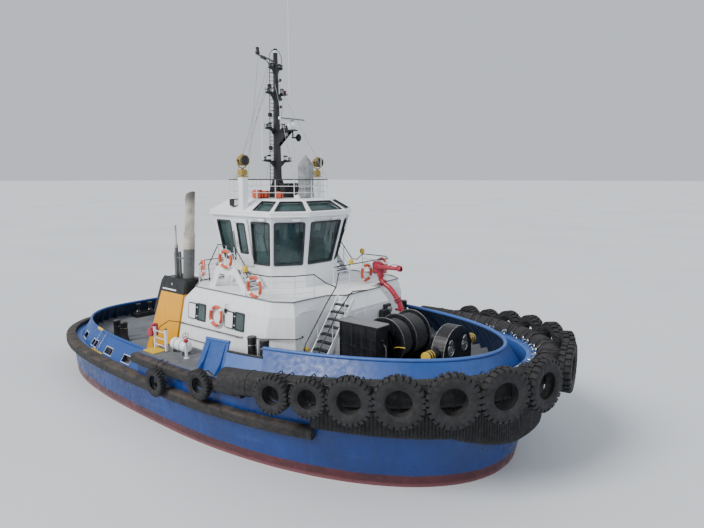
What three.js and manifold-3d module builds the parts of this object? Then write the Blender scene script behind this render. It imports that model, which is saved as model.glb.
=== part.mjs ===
// A harbour tugboat as an assembly of named solids, in millimetres.
// +X is forward, +Y is to port, +Z is up. The origin is on the centreline at the waterline, amidships.
import * as THREE from "three";
import { mergeVertices } from "three/addons/utils/BufferGeometryUtils.js";
import Module from "manifold-3d";

const wasm = await Module();
wasm.setup();

// Driving dimensions: levels above the waterline.
const MAIN_DECK_Z = 1600;
const RAISED_DECK_Z = 2650;
const BRIDGE_DECK_Z = 5000;
const SILL_Z = 5800;
const EAVE_Z = 7780;
const ROOF_Z = 8420;

// Driving dimensions: lengths along the ship and across it.
const RAISED_DECK_X = -1450;
const GAP = 0.4;
const PLATE = 70;
const RING_STEPS = 11;

const tug = new THREE.Group();

const MATERIALS = {
  hull_blue: new THREE.MeshStandardMaterial({ color: 0x1a4fa8, roughness: 0.4, metalness: 0.1 }),
  bulwark_blue: new THREE.MeshStandardMaterial({ color: 0x2a62b8, roughness: 0.4, metalness: 0.1 }),
  white: new THREE.MeshStandardMaterial({ color: 0xe8ebee, roughness: 0.35, metalness: 0.1 }),
  black: new THREE.MeshStandardMaterial({ color: 0x15171b, roughness: 0.5, metalness: 0.1 }),
  yellow: new THREE.MeshStandardMaterial({ color: 0xe3a31c, roughness: 0.4, metalness: 0.1 }),
  red: new THREE.MeshStandardMaterial({ color: 0xa01f2e, roughness: 0.4, metalness: 0.1 }),
  rubber: new THREE.MeshStandardMaterial({ color: 0x1c1b1a, roughness: 0.85, metalness: 0 }),
  steel: new THREE.MeshStandardMaterial({ color: 0xb9bcc0, roughness: 0.3, metalness: 0.9 }),
  bronze: new THREE.MeshStandardMaterial({ color: 0x9c7a3c, roughness: 0.35, metalness: 0.9 }),
  glass: new THREE.MeshStandardMaterial({ color: 0x39504f, roughness: 0.1, metalness: 0 }),
  grey: new THREE.MeshStandardMaterial({ color: 0x6f757c, roughness: 0.5, metalness: 0.2 }),
};

// Geometry to solid: vertices that coincide are merged, and a mirrored geometry is turned face out.
function solid(geometry) {
  const bare = geometry.clone();
  bare.deleteAttribute("normal");
  bare.deleteAttribute("uv");
  const merged = mergeVertices(bare, 1e-3);
  const position = merged.attributes.position;
  const index = Array.from(merged.index.array);
  const corners = [new THREE.Vector3(), new THREE.Vector3(), new THREE.Vector3()];
  let volume = 0;
  for (let i = 0; i < index.length; i += 3) {
    corners.forEach((corner, k) => corner.fromBufferAttribute(position, index[i + k]));
    volume += corners[0].dot(corners[1].clone().cross(corners[2]));
  }
  if (volume < 0) {
    for (let i = 0; i < index.length; i += 3) {
      [index[i + 1], index[i + 2]] = [index[i + 2], index[i + 1]];
    }
  }
  return new wasm.Manifold(
    new wasm.Mesh({ numProp: 3, vertProperties: position.array, triVerts: new Uint32Array(index) }),
  );
}

function join(...pieces) {
  return pieces.flat().reduce((whole, piece) => whole.add(piece));
}

function cut(whole, ...tools) {
  return tools.flat().reduce((rest, tool) => rest.subtract(tool), whole);
}

function geometryOf(piece) {
  const mesh = piece.getMesh();
  const geometry = new THREE.BufferGeometry();
  geometry.setAttribute("position", new THREE.BufferAttribute(new Float32Array(mesh.vertProperties), 3));
  geometry.setIndex(new THREE.BufferAttribute(new Uint32Array(mesh.triVerts), 1));
  return geometry;
}

// The same solid on the other side of the centreline.
function mirrored(piece) {
  return solid(geometryOf(piece).scale(1, -1, 1));
}

// Starboard pieces are made first. The port one is its mirror image.
function onSide(side, piece) {
  return side < 0 ? piece : mirrored(piece);
}

function moved(piece, x, y, z) {
  return solid(geometryOf(piece).translate(x, y, z));
}

function add(name, piece, material, place = [0, 0, 0]) {
  const geometry = geometryOf(piece).toNonIndexed();
  geometry.computeVertexNormals();
  const mesh = new THREE.Mesh(geometry, MATERIALS[material]);
  mesh.name = name;
  mesh.position.set(...place);
  tug.add(mesh);
}

// Plain solids: a box between two corners, a round bar or cone between two points.
function box(low, high) {
  const size = high.map((value, i) => value - low[i]);
  const centre = high.map((value, i) => (value + low[i]) / 2);
  return solid(new THREE.BoxGeometry(...size).translate(...centre));
}

function bar(from, to, radius, sides = 8, endRadius = radius) {
  const start = new THREE.Vector3(...from);
  const along = new THREE.Vector3(...to).sub(start);
  const geometry = new THREE.CylinderGeometry(endRadius, radius, along.length(), sides);
  geometry.translate(0, along.length() / 2, 0);
  geometry.applyQuaternion(
    new THREE.Quaternion().setFromUnitVectors(new THREE.Vector3(0, 1, 0), along.clone().normalize()),
  );
  return solid(geometry.translate(...from));
}

// A handrail: straight bars through the points, each run a little past its bends.
function rail(points, radius, sides = 6) {
  return join(points.slice(1).map((point, i) => {
    const past = new THREE.Vector3(...point).sub(new THREE.Vector3(...points[i])).setLength(radius * 0.5);
    return bar(points[i], new THREE.Vector3(...point).add(past).toArray(), radius, sides);
  }));
}

// A smooth bent pipe through the points.
function pipe(points, radius, steps, sides = 10) {
  const path = new THREE.CatmullRomCurve3(points.map((point) => new THREE.Vector3(...point)));
  const section = new THREE.Shape();
  section.absarc(0, 0, radius, 0, Math.PI * 2);
  return solid(
    new THREE.ExtrudeGeometry(section, {
      steps, extrudePath: path, curveSegments: sides, bevelEnabled: false,
    }),
  );
}

function slab(corners, depth) {
  const shape = new THREE.Shape(corners.map(([u, v]) => new THREE.Vector2(u, v)));
  return new THREE.ExtrudeGeometry(shape, { depth, bevelEnabled: false });
}

// A flat plate: an outline in the XZ plane, from one Y to another.
function plateAcross(corners, y0, y1) {
  return solid(slab(corners, y1 - y0).rotateX(Math.PI / 2).translate(0, y1, 0));
}

// A flat plate: an outline in the YZ plane, from one X to another.
function plateAlong(corners, x0, x1) {
  const turn = new THREE.Matrix4().set(0, 0, 1, x0, 1, 0, 0, 0, 0, 1, 0, 0, 0, 0, 0, 1);
  return solid(slab(corners, x1 - x0).applyMatrix4(turn));
}

// A turned shape: a profile of radius and height, about the Z axis.
function turned(profile, sides = 16) {
  const points = profile.map(([radius, z]) => new THREE.Vector2(radius, z));
  return solid(new THREE.LatheGeometry(points, sides).rotateX(Math.PI / 2));
}

// A loft through rings that have the same count of points. Each end is closed by strips across the ring.
function loft(rings) {
  const count = rings[0].length;
  const index = [];
  for (let r = 0; r + 1 < rings.length; r++) {
    for (let i = 0; i < count; i++) {
      const a = r * count + i;
      const b = r * count + ((i + 1) % count);
      index.push(a, b, b + count, a, b + count, a + count);
    }
  }
  const cap = (base, flip) => {
    for (let i = 0; i < count / 2 - 1; i++) {
      const near = [base + i, base + i + 1];
      const far = [base + count - 1 - i, base + count - 2 - i];
      const triangles = [[near[0], far[0], near[1]], [near[1], far[0], far[1]]];
      triangles.forEach(([a, b, c]) => index.push(...(flip ? [a, c, b] : [a, b, c])));
    }
  };
  cap(0, false);
  cap((rings.length - 1) * count, true);
  const geometry = new THREE.BufferGeometry();
  geometry.setAttribute("position", new THREE.Float32BufferAttribute(rings.flat(2), 3));
  geometry.setIndex(index);
  return solid(geometry);
}

// A ship's outline at one height: superellipse quarters forward of midships and aft of it, on both sides.
// breadth is the half-breadth, and z may be a number or a function of x.
function outline({ breadth, stern, bow, fullAft, fullFore, z, aftLimit = -Infinity }) {
  const side = [];
  for (let i = 0; i <= 2 * RING_STEPS; i++) {
    const fore = i <= RING_STEPS;
    const angle = ((fore ? RING_STEPS - i : i - RING_STEPS) / RING_STEPS) * (Math.PI / 2);
    const power = 2 / (fore ? fullFore : fullAft);
    const x = (fore ? bow : stern) * Math.sin(angle) ** power;
    const y = breadth * Math.max(Math.cos(angle), 0.02) ** power;
    side.push([Math.max(x, aftLimit), y]);
  }
  const level = typeof z === "function" ? z : () => z;
  const port = side.map(([x, y]) => [x, y, level(x)]);
  const starboard = side.map(([x, y]) => [x, -y, level(x)]).reverse();
  return [...port, ...starboard];
}

function outlineLoft(rows, grow = 0) {
  return loft(rows.map(([z, breadth, stern, bow, fullAft, fullFore]) => outline({
    z, breadth: breadth + grow, stern: stern - grow, bow: bow + grow, fullAft, fullFore,
  })));
}

// Hull levels: height, half-breadth, stern x, bow x, fullness aft, fullness forward.
const HULL_LEVELS = [
  [-2850, 2100, -5400, 7000, 2.6, 2.0],
  [-2500, 3900, -6900, 8500, 2.8, 2.0],
  [-1600, 5000, -9200, 9900, 2.9, 2.05],
  [-700, 5350, -11000, 10700, 3.0, 2.1],
  [0, 5460, -11900, 11150, 3.0, 2.15],
  [MAIN_DECK_Z, 5600, -12000, 11500, 3.0, 2.2],
];

const RAISED_LEVELS = [
  [MAIN_DECK_Z - 400, 5585, -11900, 11400, 3.0, 2.2],
  [RAISED_DECK_Z, 5600, -12000, 11700, 3.0, 2.25],
];

// Each thruster hangs from a round trunk in the hull bottom.
const THRUSTER = {
  x: -8500, y: 2350, trunk: 620, flangeZ: -2250, shaftZ: -3850,
  nozzleX: -450, nozzleOuter: 1180, nozzleInner: 1010, nozzleLength: 1000,
};

function hullSolid(grow) {
  const forward = box([RAISED_DECK_X - grow, -9000, -9000], [20000, 9000, 9000]);
  const trunks = [-1, 1].map((side) => bar(
    [THRUSTER.x, side * THRUSTER.y, THRUSTER.flangeZ],
    [THRUSTER.x, side * THRUSTER.y, -500],
    THRUSTER.trunk,
    20,
  ));
  return join(outlineLoft(HULL_LEVELS, grow), outlineLoft(RAISED_LEVELS, grow).intersect(forward), trunks);
}

add("hull", hullSolid(0), "hull_blue");

const hullClearance = hullSolid(GAP);

// Box skeg on the centreline, from below the raised stern to amidships.
const SKEG = { aft: -6400, fore: 3600, half: 260, bottom: -4000 };
const skegOutline = [
  [SKEG.aft, -2000],
  [SKEG.aft + 500, SKEG.bottom],
  [SKEG.fore - 1500, SKEG.bottom],
  [SKEG.fore, -2600],
  [SKEG.fore, -2000],
];
add("skeg", cut(plateAcross(skegOutline, -SKEG.half, SKEG.half), hullClearance), "hull_blue");

// Rubber fender around the main deck edge: its rows are height, outline and fullness, as for the hull.
const LOWER_FENDER = { z: 1600, half: 200, breadth: 5900, stern: -12200, bow: 11750 };
const UPPER_FENDER = { z: 2450, half: 190, breadth: 5850, stern: -12200, bow: 11900, fore: 4620 };
const BOW_FENDER = {
  radius: 400, foot: 2640, sheer: 0.0635, breadth: 6010, bow: 12110, aft: 4200, fullness: 2.2,
};
const LOW_BOW_FENDER = { z: 1980, half: 650, breadth: 5900, bow: 11980, aft: 7150 };
const EVERYWHERE = 20000;
const STARBOARD_HALF = box([-EVERYWHERE, -EVERYWHERE, -EVERYWHERE], [EVERYWHERE, 0, EVERYWHERE]);
const PORT_HALF = box([-EVERYWHERE, 0, -EVERYWHERE], [EVERYWHERE, EVERYWHERE, EVERYWHERE]);

function between(aft, fore) {
  return box([aft, -EVERYWHERE, -EVERYWHERE], [fore, EVERYWHERE, EVERYWHERE]);
}

function beadRows({ z, half, breadth, stern = -12200, bow }) {
  const steps = [[-1, -110], [-0.6, 0], [0.6, 0], [1, -110]];
  return steps.map(([level, outset]) => [
    z + level * half, breadth + outset, stern - outset, bow + outset, 3.0, 2.2,
  ]);
}

function bead(fender) {
  const core = [fender.z - 1000, fender.z + 1000].map((z) => [z, 5450, -11850, 11200, 3.0, 2.2]);
  return cut(outlineLoft(beadRows(fender)), hullClearance, outlineLoft(core));
}

function roundFender({ radius, foot, sheer, breadth, bow, aft, fullness }) {
  const curve = [];
  const steps = 26;
  for (let i = 0; i <= steps; i++) {
    const angle = (i / steps) * Math.PI;
    const power = 2 / fullness;
    const x = bow * Math.sin(angle) ** power;
    const y = -breadth * Math.sign(Math.cos(angle)) * Math.abs(Math.cos(angle)) ** power;
    if (x >= aft) curve.push(new THREE.Vector3(x, y, foot + sheer * x));
  }
  const section = new THREE.Shape();
  section.absarc(0, 0, radius, 0, Math.PI * 2);
  return solid(new THREE.ExtrudeGeometry(section, {
    steps: 36,
    extrudePath: new THREE.CatmullRomCurve3(curve),
    curveSegments: 6,
    bevelEnabled: false,
  }));
}

const roundFenderClearance = roundFender({ ...BOW_FENDER, radius: BOW_FENDER.radius + GAP });
add("lower_fender", bead(LOWER_FENDER).intersect(between(-EVERYWHERE, LOW_BOW_FENDER.aft - GAP)), "rubber");
const upperFender = cut(
  bead(UPPER_FENDER).intersect(between(RAISED_DECK_X, UPPER_FENDER.fore)),
  roundFenderClearance,
);
add("upper_fender_starboard", upperFender.intersect(STARBOARD_HALF), "rubber");
add("upper_fender_port", upperFender.intersect(PORT_HALF), "rubber");
add("bow_fender", cut(roundFender(BOW_FENDER), hullClearance), "rubber");
// The low bow fender is deepest at the stem.
const underLowBowFender = plateAcross([
  [0, 0], [EVERYWHERE, 0], [EVERYWHERE, 1330], [11900, 1330], [10800, 1790], [0, 1790],
], -EVERYWHERE, EVERYWHERE);
add("low_bow_fender", cut(
  bead(LOW_BOW_FENDER).intersect(between(LOW_BOW_FENDER.aft, EVERYWHERE)),
  roundFenderClearance,
  underLowBowFender,
), "rubber");

// The outline moved inwards by a distance, each side in its own plane.
function inset(ring, distance) {
  const count = ring.length;
  const edges = ring.map(([x, y], i) => {
    const [nextX, nextY] = ring[(i + 1) % count];
    const length = Math.hypot(nextX - x, nextY - y);
    const normal = [-(nextY - y) / length, (nextX - x) / length];
    return { normal, offset: normal[0] * x + normal[1] * y + distance };
  });
  return ring.map(([, , z], i) => {
    const before = edges[(i + count - 1) % count];
    const after = edges[i];
    const det = before.normal[0] * after.normal[1] - before.normal[1] * after.normal[0];
    const x = (before.offset * after.normal[1] - after.offset * before.normal[1]) / det;
    const y = (after.offset * before.normal[0] - before.offset * after.normal[0]) / det;
    return [x, y, z];
  });
}

const raise = (ring, rise) => ring.map(([x, y, z]) => [x, y, z + rise]);

// A leaning wall between two outlines, open above and below, with a flat cap on its top edge.
const CAP = { out: 60, height: 60 };
const TOOL_REACH = 25;

function bulwark(foot, top) {
  const wall = cut(
    loft([foot, top]),
    loft([raise(inset(foot, PLATE), -TOOL_REACH), raise(inset(top, PLATE), TOOL_REACH)]),
  );
  const capOuter = inset(top, -CAP.out);
  const capInner = inset(top, PLATE + CAP.out);
  const cap = cut(
    loft([capOuter, raise(capOuter, CAP.height)]),
    loft([raise(capInner, -TOOL_REACH), raise(capInner, CAP.height + TOOL_REACH)]),
  );
  return join(wall, cap);
}

// Bulwark outlines on each deck.
const AFT_BULWARK = {
  foot: { breadth: 5250, stern: -11500, bow: 9000, fullAft: 3.0, fullFore: 2.2, z: MAIN_DECK_Z + GAP },
  top: { breadth: 4700, stern: -11050, bow: 9000, fullAft: 3.2, fullFore: 2.2, z: 2300 },
};
const FORE_BULWARK = {
  foot: { breadth: 5300, stern: -9000, bow: 11500, fullAft: 3.6, fullFore: 2.2, z: RAISED_DECK_Z + GAP },
  top: { breadth: 4600, stern: -9000, bow: 10800, fullAft: 3.6, fullFore: 2.05, z: (x) => 3440 + 0.029 * x },
  aft: 1930,
  lowAft: 3250,
  lowFore: 4900,
  lowShare: 0.72,
};
const FREEING_PORTS = [-3600, -5300, -7000, -8700];
const FREEING_PORT = { length: 700, height: 260, rise: 80 };

const freeingPorts = FREEING_PORTS.map((x) => box(
  [x, -EVERYWHERE, MAIN_DECK_Z + FREEING_PORT.rise],
  [x + FREEING_PORT.length, EVERYWHERE, MAIN_DECK_Z + FREEING_PORT.rise + FREEING_PORT.height],
));
add("aft_bulwark", cut(
  bulwark(outline(AFT_BULWARK.foot), outline(AFT_BULWARK.top))
    .intersect(between(-EVERYWHERE, RAISED_DECK_X - GAP)),
  freeingPorts,
), "bulwark_blue");

// A blue ledge outside the forward bulwark, which backs the round fender.
const LEDGE = { breadth: 5700, inner: 5250, bow: 11800, innerBow: 11440, aft: 4900, rise: 60 };
const ledgeTop = (x) => BOW_FENDER.foot + BOW_FENDER.sheer * x + LEDGE.rise;
const ledgeRing = (breadth, bow, z) => outline({
  breadth, stern: -9000, bow, fullAft: 3.8, fullFore: 2.2, z,
});
const ledge = cut(
  loft([
    ledgeRing(LEDGE.breadth, LEDGE.bow, RAISED_DECK_Z + GAP),
    ledgeRing(LEDGE.breadth, LEDGE.bow, ledgeTop),
  ]),
  loft([
    ledgeRing(LEDGE.inner, LEDGE.innerBow, RAISED_DECK_Z - TOOL_REACH),
    ledgeRing(LEDGE.inner - 140, LEDGE.innerBow - 140, (x) => ledgeTop(x) + TOOL_REACH),
  ]),
).intersect(between(LEDGE.aft, EVERYWHERE));
const foreFoot = outline(FORE_BULWARK.foot);
const foreTop = outline(FORE_BULWARK.top);
const lowTop = foreFoot.map((point, i) =>
  point.map((value, k) => value + FORE_BULWARK.lowShare * (foreTop[i][k] - value)));
const highWall = bulwark(foreFoot, foreTop);
add("fore_bulwark", cut(
  join(
    highWall.intersect(between(FORE_BULWARK.aft, FORE_BULWARK.lowAft)),
    highWall.intersect(between(FORE_BULWARK.lowFore, EVERYWHERE)),
    bulwark(foreFoot, lowTop).intersect(between(FORE_BULWARK.lowAft - 50, FORE_BULWARK.lowFore + 50)),
    ledge,
  ),
  roundFenderClearance,
), "bulwark_blue");

// A ring from a half outline on the port side: points run from forward to aft, then back on the other side.
function ringOf(half, z) {
  const port = half.map(([x, y]) => [x, y, z]);
  const starboard = half.map(([x, y]) => [x, -y, z]).reverse();
  return [...port, ...starboard];
}

// Deckhouse corners on the port side, forward to aft: x and y at the foot, at the knuckle and at the top.
const DECKHOUSE = {
  knuckleZ: 4500,
  corners: [
    [4750, 1500, 4750, 1500, 4700, 1500],
    [4750, 3150, 4750, 3150, 4600, 3080],
    [3700, 3850, 4000, 3650, 3970, 3500],
    [-1300, 3850, -1000, 3650, -450, 3500],
    [-1450, 2600, -1450, 2600, -1450, 2600],
  ],
};
const FRONT_HOUSE = { x: 5500, topX: 5200, half: 1220, topHalf: 1020 };
const AFT_HOUSE = { aft: -3900, half: 2600, topZ: 4400 };

function columns(corners, first) {
  return corners.map((corner) => [corner[first], corner[first + 1]]);
}

// Funnel casings outboard of the aft house. They lean forward.
const FUNNEL = {
  foot: { aft: -4580, fore: -2400 },
  top: { aft: -2750, fore: -1300 },
  inner: AFT_HOUSE.half,
  outer: 3400,
  topZ: 5150,
};
function funnelRing({ aft, fore }, z, grow) {
  const inner = FUNNEL.inner + GAP - grow;
  const outer = FUNNEL.outer + grow;
  return [
    [fore + grow, -inner, z],
    [aft - grow, -inner, z],
    [aft - grow, -outer, z],
    [fore + grow, -outer, z],
  ];
}

function funnelSolid(grow) {
  return loft([
    funnelRing(FUNNEL.foot, MAIN_DECK_Z + GAP - grow, grow),
    funnelRing(FUNNEL.top, FUNNEL.topZ + grow, grow),
  ]);
}
const funnel = funnelSolid(0);

const house = join(
  loft([
    ringOf(columns(DECKHOUSE.corners, 0), RAISED_DECK_Z + GAP),
    ringOf(columns(DECKHOUSE.corners, 2), DECKHOUSE.knuckleZ),
    ringOf(columns(DECKHOUSE.corners, 4), BRIDGE_DECK_Z),
  ]),
  loft([
    ringOf([[FRONT_HOUSE.x, FRONT_HOUSE.half], [4000, FRONT_HOUSE.half]], RAISED_DECK_Z + GAP),
    ringOf([[FRONT_HOUSE.x, FRONT_HOUSE.half], [4000, FRONT_HOUSE.half]], DECKHOUSE.knuckleZ),
    ringOf([[FRONT_HOUSE.topX, FRONT_HOUSE.topHalf], [4000, FRONT_HOUSE.topHalf]], BRIDGE_DECK_Z),
  ]),
  box(
    [AFT_HOUSE.aft, -AFT_HOUSE.half, MAIN_DECK_Z + GAP],
    [RAISED_DECK_X - GAP, AFT_HOUSE.half, AFT_HOUSE.topZ],
  ),
  box([RAISED_DECK_X - 100, -AFT_HOUSE.half, RAISED_DECK_Z + GAP], [0, AFT_HOUSE.half, BRIDGE_DECK_Z]),
);
const funnelClearance = funnelSolid(GAP).intersect(between(-EVERYWHERE, RAISED_DECK_X + 1200));
const deckhouse = cut(house, funnelClearance, mirrored(funnelClearance));

// Exhaust pipes on each funnel. The main one leans inboard, and its hollow outlet is cut on a slant.
const EXHAUST = {
  x: -1650, y: -3000, lean: 250, radius: 235, bore: 170, tailRadius: 200, tailZ: 7000, topZ: 8700,
};
// Small pipes aft of it: x, radius and height of the top.
const SMALL_PIPES = [[-2450, 105, 6150], [-2450, 75, 6500], [-2450, 40, 7280], [-2200, 55, 6200]];
const aboveOutlet = plateAcross([
  [-600, 7900], [-235, 7900], [-200, 8150], [-110, 8400], [20, 8600], [200, 8700], [600, 8750], [600, 9600], [-600, 9600],
].map(([x, z]) => [EXHAUST.x + x, z]), -EVERYWHERE, EVERYWHERE);
const STRAP = { z: 5900, half: 40 };
const exhaustFoot = [EXHAUST.x, EXHAUST.y, FUNNEL.topZ - 100];
const exhaustTail = [EXHAUST.x, EXHAUST.y + EXHAUST.lean / 2, EXHAUST.tailZ];
const exhaustTop = [EXHAUST.x, EXHAUST.y + EXHAUST.lean, EXHAUST.topZ];
const exhaust = cut(
  join(
    bar(exhaustFoot, exhaustTail, EXHAUST.radius, 16),
    bar([exhaustTail[0], exhaustTail[1], EXHAUST.tailZ - 50], exhaustTop, EXHAUST.tailRadius, 16),
    SMALL_PIPES.map(([x, radius, topZ]) =>
      bar([x, EXHAUST.y, FUNNEL.topZ + GAP], [x, EXHAUST.y, topZ], radius)),
    box(
      [SMALL_PIPES[2][0], EXHAUST.y - STRAP.half, STRAP.z],
      [EXHAUST.x, EXHAUST.y + STRAP.half, STRAP.z + 60],
    ),
  ),
  bar(exhaustTail, [exhaustTop[0], exhaustTop[1], EXHAUST.topZ + 300], EXHAUST.bore, 12),
  aboveOutlet,
  box([-EVERYWHERE, -EVERYWHERE, 0], [0, 0, FUNNEL.topZ + GAP]),
);
[["starboard", -1], ["port", 1]].forEach(([side, sign]) => {
  add(`funnel_${side}`, onSide(sign, funnel), "yellow");
  add(`exhaust_${side}`, onSide(sign, exhaust), "steel");
});

// Wheelhouse corners on the port side, forward to aft: x and y at the eave and at the window sill.
const CAB = {
  wall: 80,
  corners: [
    [3400, 1050, 2950, 800],
    [2600, 2220, 2198, 1900],
    [-900, 2220, -700, 1900],
    [-1500, 1500, -1242, 1250],
  ],
  floorZ: 5700,
  doorAft: 480,
  doorFore: 1180,
};
const eaveRing = ringOf(columns(CAB.corners, 0), EAVE_Z);
const sillRing = ringOf(columns(CAB.corners, 2), SILL_Z);
const footRing = ringOf(columns(CAB.corners, 2), BRIDGE_DECK_Z + GAP);

// A point on one side of the wheelhouse: u runs from one corner to the next, v from sill to eave.
function cabPoint(corner, u, v, outset) {
  const next = (corner + 1) % eaveRing.length;
  const at = (ring, i) => new THREE.Vector3(...ring[i]);
  const low = at(sillRing, corner).lerp(at(sillRing, next), u);
  const high = at(eaveRing, corner).lerp(at(eaveRing, next), u);
  const along = at(sillRing, next).sub(at(sillRing, corner));
  const up = at(eaveRing, corner).sub(at(sillRing, corner));
  const normal = along.cross(up).normalize();
  return low.lerp(high, v).addScaledVector(normal, outset).toArray();
}

function cabPanel(corner, [u0, u1], [v0, v1], inner, outer) {
  const quad = (outset) => [
    cabPoint(corner, u0, v0, outset),
    cabPoint(corner, u1, v0, outset),
    cabPoint(corner, u1, v1, outset),
    cabPoint(corner, u0, v1, outset),
  ];
  return loft([quad(inner), quad(outer)]);
}

// Wheelhouse windows: side number from the port front corner, then u from and to, and v from and to.
// Side 7 is the front, 0 and 6 the quarters, 1 and 5 the beam sides, 2 and 4 the aft quarters, 3 the back.
const CAB_WINDOWS = [
  [7, 0.09, 0.91, 0.06, 0.88],
  [0, 0.1, 0.9, 0.06, 0.88],
  [6, 0.1, 0.9, 0.06, 0.88],
  [1, 0.03, 0.33, 0.06, 0.88],
  [5, 0.67, 0.97, 0.06, 0.88],
  [1, 0.7, 0.94, 0.1, 0.88],
  [5, 0.06, 0.3, 0.1, 0.88],
  [2, 0.14, 0.86, 0.1, 0.88],
  [4, 0.14, 0.86, 0.1, 0.88],
  [3, 0.06, 0.46, 0.06, 0.88],
  [3, 0.54, 0.94, 0.06, 0.88],
];
const cabShell = cut(
  join(loft([footRing, sillRing]), loft([sillRing, eaveRing])),
  loft([raise(inset(footRing, CAB.wall), -1), inset(sillRing, CAB.wall)]),
  loft([inset(sillRing, CAB.wall), raise(inset(eaveRing, CAB.wall), 1)]),
);
const doorwayOf = (sign) => onSide(sign, loft([
  [[CAB.doorAft, -3000, SILL_Z + 20], [CAB.doorFore, -3000, SILL_Z + 20],
    [CAB.doorFore, -3000, EAVE_Z - 150], [CAB.doorAft, -3000, EAVE_Z - 150]],
  [[CAB.doorAft, -1500, SILL_Z + 20], [CAB.doorFore, -1500, SILL_Z + 20],
    [CAB.doorFore, -1500, EAVE_Z - 150], [CAB.doorAft, -1500, EAVE_Z - 150]],
]));
const floorRing = inset(footRing, CAB.wall - 10);
const cabFloor = loft([-60, 0].map((rise) => raise(floorRing, CAB.floorZ - BRIDGE_DECK_Z + rise)));
const cabWalls = cut(
  join(cabShell, cabFloor),
  CAB_WINDOWS.map(([side, u0, u1, v0, v1]) => cabPanel(side, [u0, u1], [v0, v1], -200, 200)),
  doorwayOf(-1),
  doorwayOf(1),
);

// Window glass behind the wall openings, in one band forward of the doors and one aft of them.
const GLASS = { thickness: 12, from: 0.03, to: 0.93 };
function shellBand(lowRing, highRing, from, to, outer, thickness) {
  const at = (v) => lowRing.map((point, i) => point.map((value, k) => value + (highRing[i][k] - value) * v));
  const rings = [at(from), at(to)];
  const span = 0.01;
  return cut(
    loft(rings.map((ring) => inset(ring, outer))),
    loft([at(from - span), at(to + span)].map((ring) => inset(ring, outer + thickness))),
  );
}
const glassBand = shellBand(sillRing, eaveRing, GLASS.from, GLASS.to, CAB.wall + 2 * GAP, GLASS.thickness);
add("wheelhouse_glass_fore", glassBand.intersect(between(CAB.doorFore + 20, EVERYWHERE)), "glass");
add("wheelhouse_glass_aft", glassBand.intersect(between(-EVERYWHERE, CAB.doorAft - 20)), "glass");

// Roof with slanted facets, and corners on the port side, forward to aft: x and y at the rim and at the top.
const ROOF = {
  fascia: 170,
  shell: 70,
  corners: [
    [3480, 1080, 2800, 750],
    [2660, 2300, 2296, 1500],
    [-1000, 2300, -600, 1500],
    [-1600, 1560, -843, 1200],
  ],
};
const rimRing = ringOf(columns(ROOF.corners, 0), EAVE_Z + GAP);
const roofTopRing = ringOf(columns(ROOF.corners, 2), ROOF_Z);
const roofRings = [rimRing, raise(rimRing, ROOF.fascia), roofTopRing];
const roofInner = [
  raise(inset(rimRing, ROOF.shell + 60), -1),
  raise(inset(rimRing, ROOF.shell + 60), ROOF.fascia - 20),
  raise(inset(roofTopRing, ROOF.shell), -ROOF.shell),
];

// A window in a sloping roof side, as for the wheelhouse.
function roofPanel(corner, [u0, u1], [v0, v1], inner, outer) {
  const rings = [roofRings[1], roofRings[2]];
  const next = (corner + 1) % rimRing.length;
  const at = (ring, i) => new THREE.Vector3(...ring[i]);
  const along = at(rings[0], next).sub(at(rings[0], corner));
  const up = at(rings[1], corner).sub(at(rings[0], corner));
  const normal = along.cross(up).normalize();
  const point = (u, v, outset) => {
    const low = at(rings[0], corner).lerp(at(rings[0], next), u);
    const high = at(rings[1], corner).lerp(at(rings[1], next), u);
    return low.lerp(high, v).addScaledVector(normal, outset).toArray();
  };
  return loft([inner, outer].map((outset) => [
    point(u0, v0, outset), point(u1, v0, outset), point(u1, v1, outset), point(u0, v1, outset),
  ]));
}
const ROOF_WINDOWS = [
  [7, 0.08, 0.92],
  [0, 0.08, 0.92],
  [6, 0.08, 0.92],
  [1, 0.03, 0.3],
  [5, 0.7, 0.97],
];
const ROOF_WINDOW_RISE = [0.12, 0.82];
// Lamp pedestals stand near the roof's sides: x and y.
const PEDESTALS = [[900, -2100], [900, 2100]];
const PEDESTAL = { half: 130, footZ: ROOF_Z - 445, topZ: ROOF_Z + 900 };
const roof = cut(
  join(
    loft(roofRings),
    PEDESTALS.map(([x, y]) => box(
      [x - PEDESTAL.half, y - PEDESTAL.half, PEDESTAL.footZ],
      [x + PEDESTAL.half, y + PEDESTAL.half, PEDESTAL.topZ],
    )),
  ),
  loft(roofInner),
  ROOF_WINDOWS.map(([side, u0, u1]) => roofPanel(side, [u0, u1], ROOF_WINDOW_RISE, -150, 150)),
);
add("wheelhouse_roof", roof, "white");
const roofGlass = cut(
  loft([inset(roofInner[1], GAP), inset(roofInner[2], GAP)].map((ring) => raise(ring, -2))),
  loft([inset(roofInner[1], 14), inset(roofInner[2], 14)].map((ring, i) => raise(ring, i ? 1 : -4))),
).intersect(between(1400, EVERYWHERE));
add("roof_glass", roofGlass, "glass");

// Inside the wheelhouse: the helm console and its chair.
const FLOOR_TOP = CAB.floorZ + GAP;
const onFloor = ([x, rise]) => [x, FLOOR_TOP + rise];
add("helm_console", join(
  box([1750, -1000, FLOOR_TOP], [2350, 1000, FLOOR_TOP + 850]),
  plateAcross([[1850, 800], [2350, 800], [2350, 1150], [2250, 1150]].map(onFloor), -900, 900),
), "grey");
add("helm_chair", join(
  box([500, -300, FLOOR_TOP + 550], [1100, 300, FLOOR_TOP + 680]),
  plateAcross([[380, 640], [520, 640], [440, 1350], [320, 1350]].map(onFloor), -280, 280),
  bar([800, 0, FLOOR_TOP + 30], [800, 0, FLOOR_TOP + 600], 60, 12),
  bar([800, 0, FLOOR_TOP], [800, 0, FLOOR_TOP + 40], 260, 12),
), "black");

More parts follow.
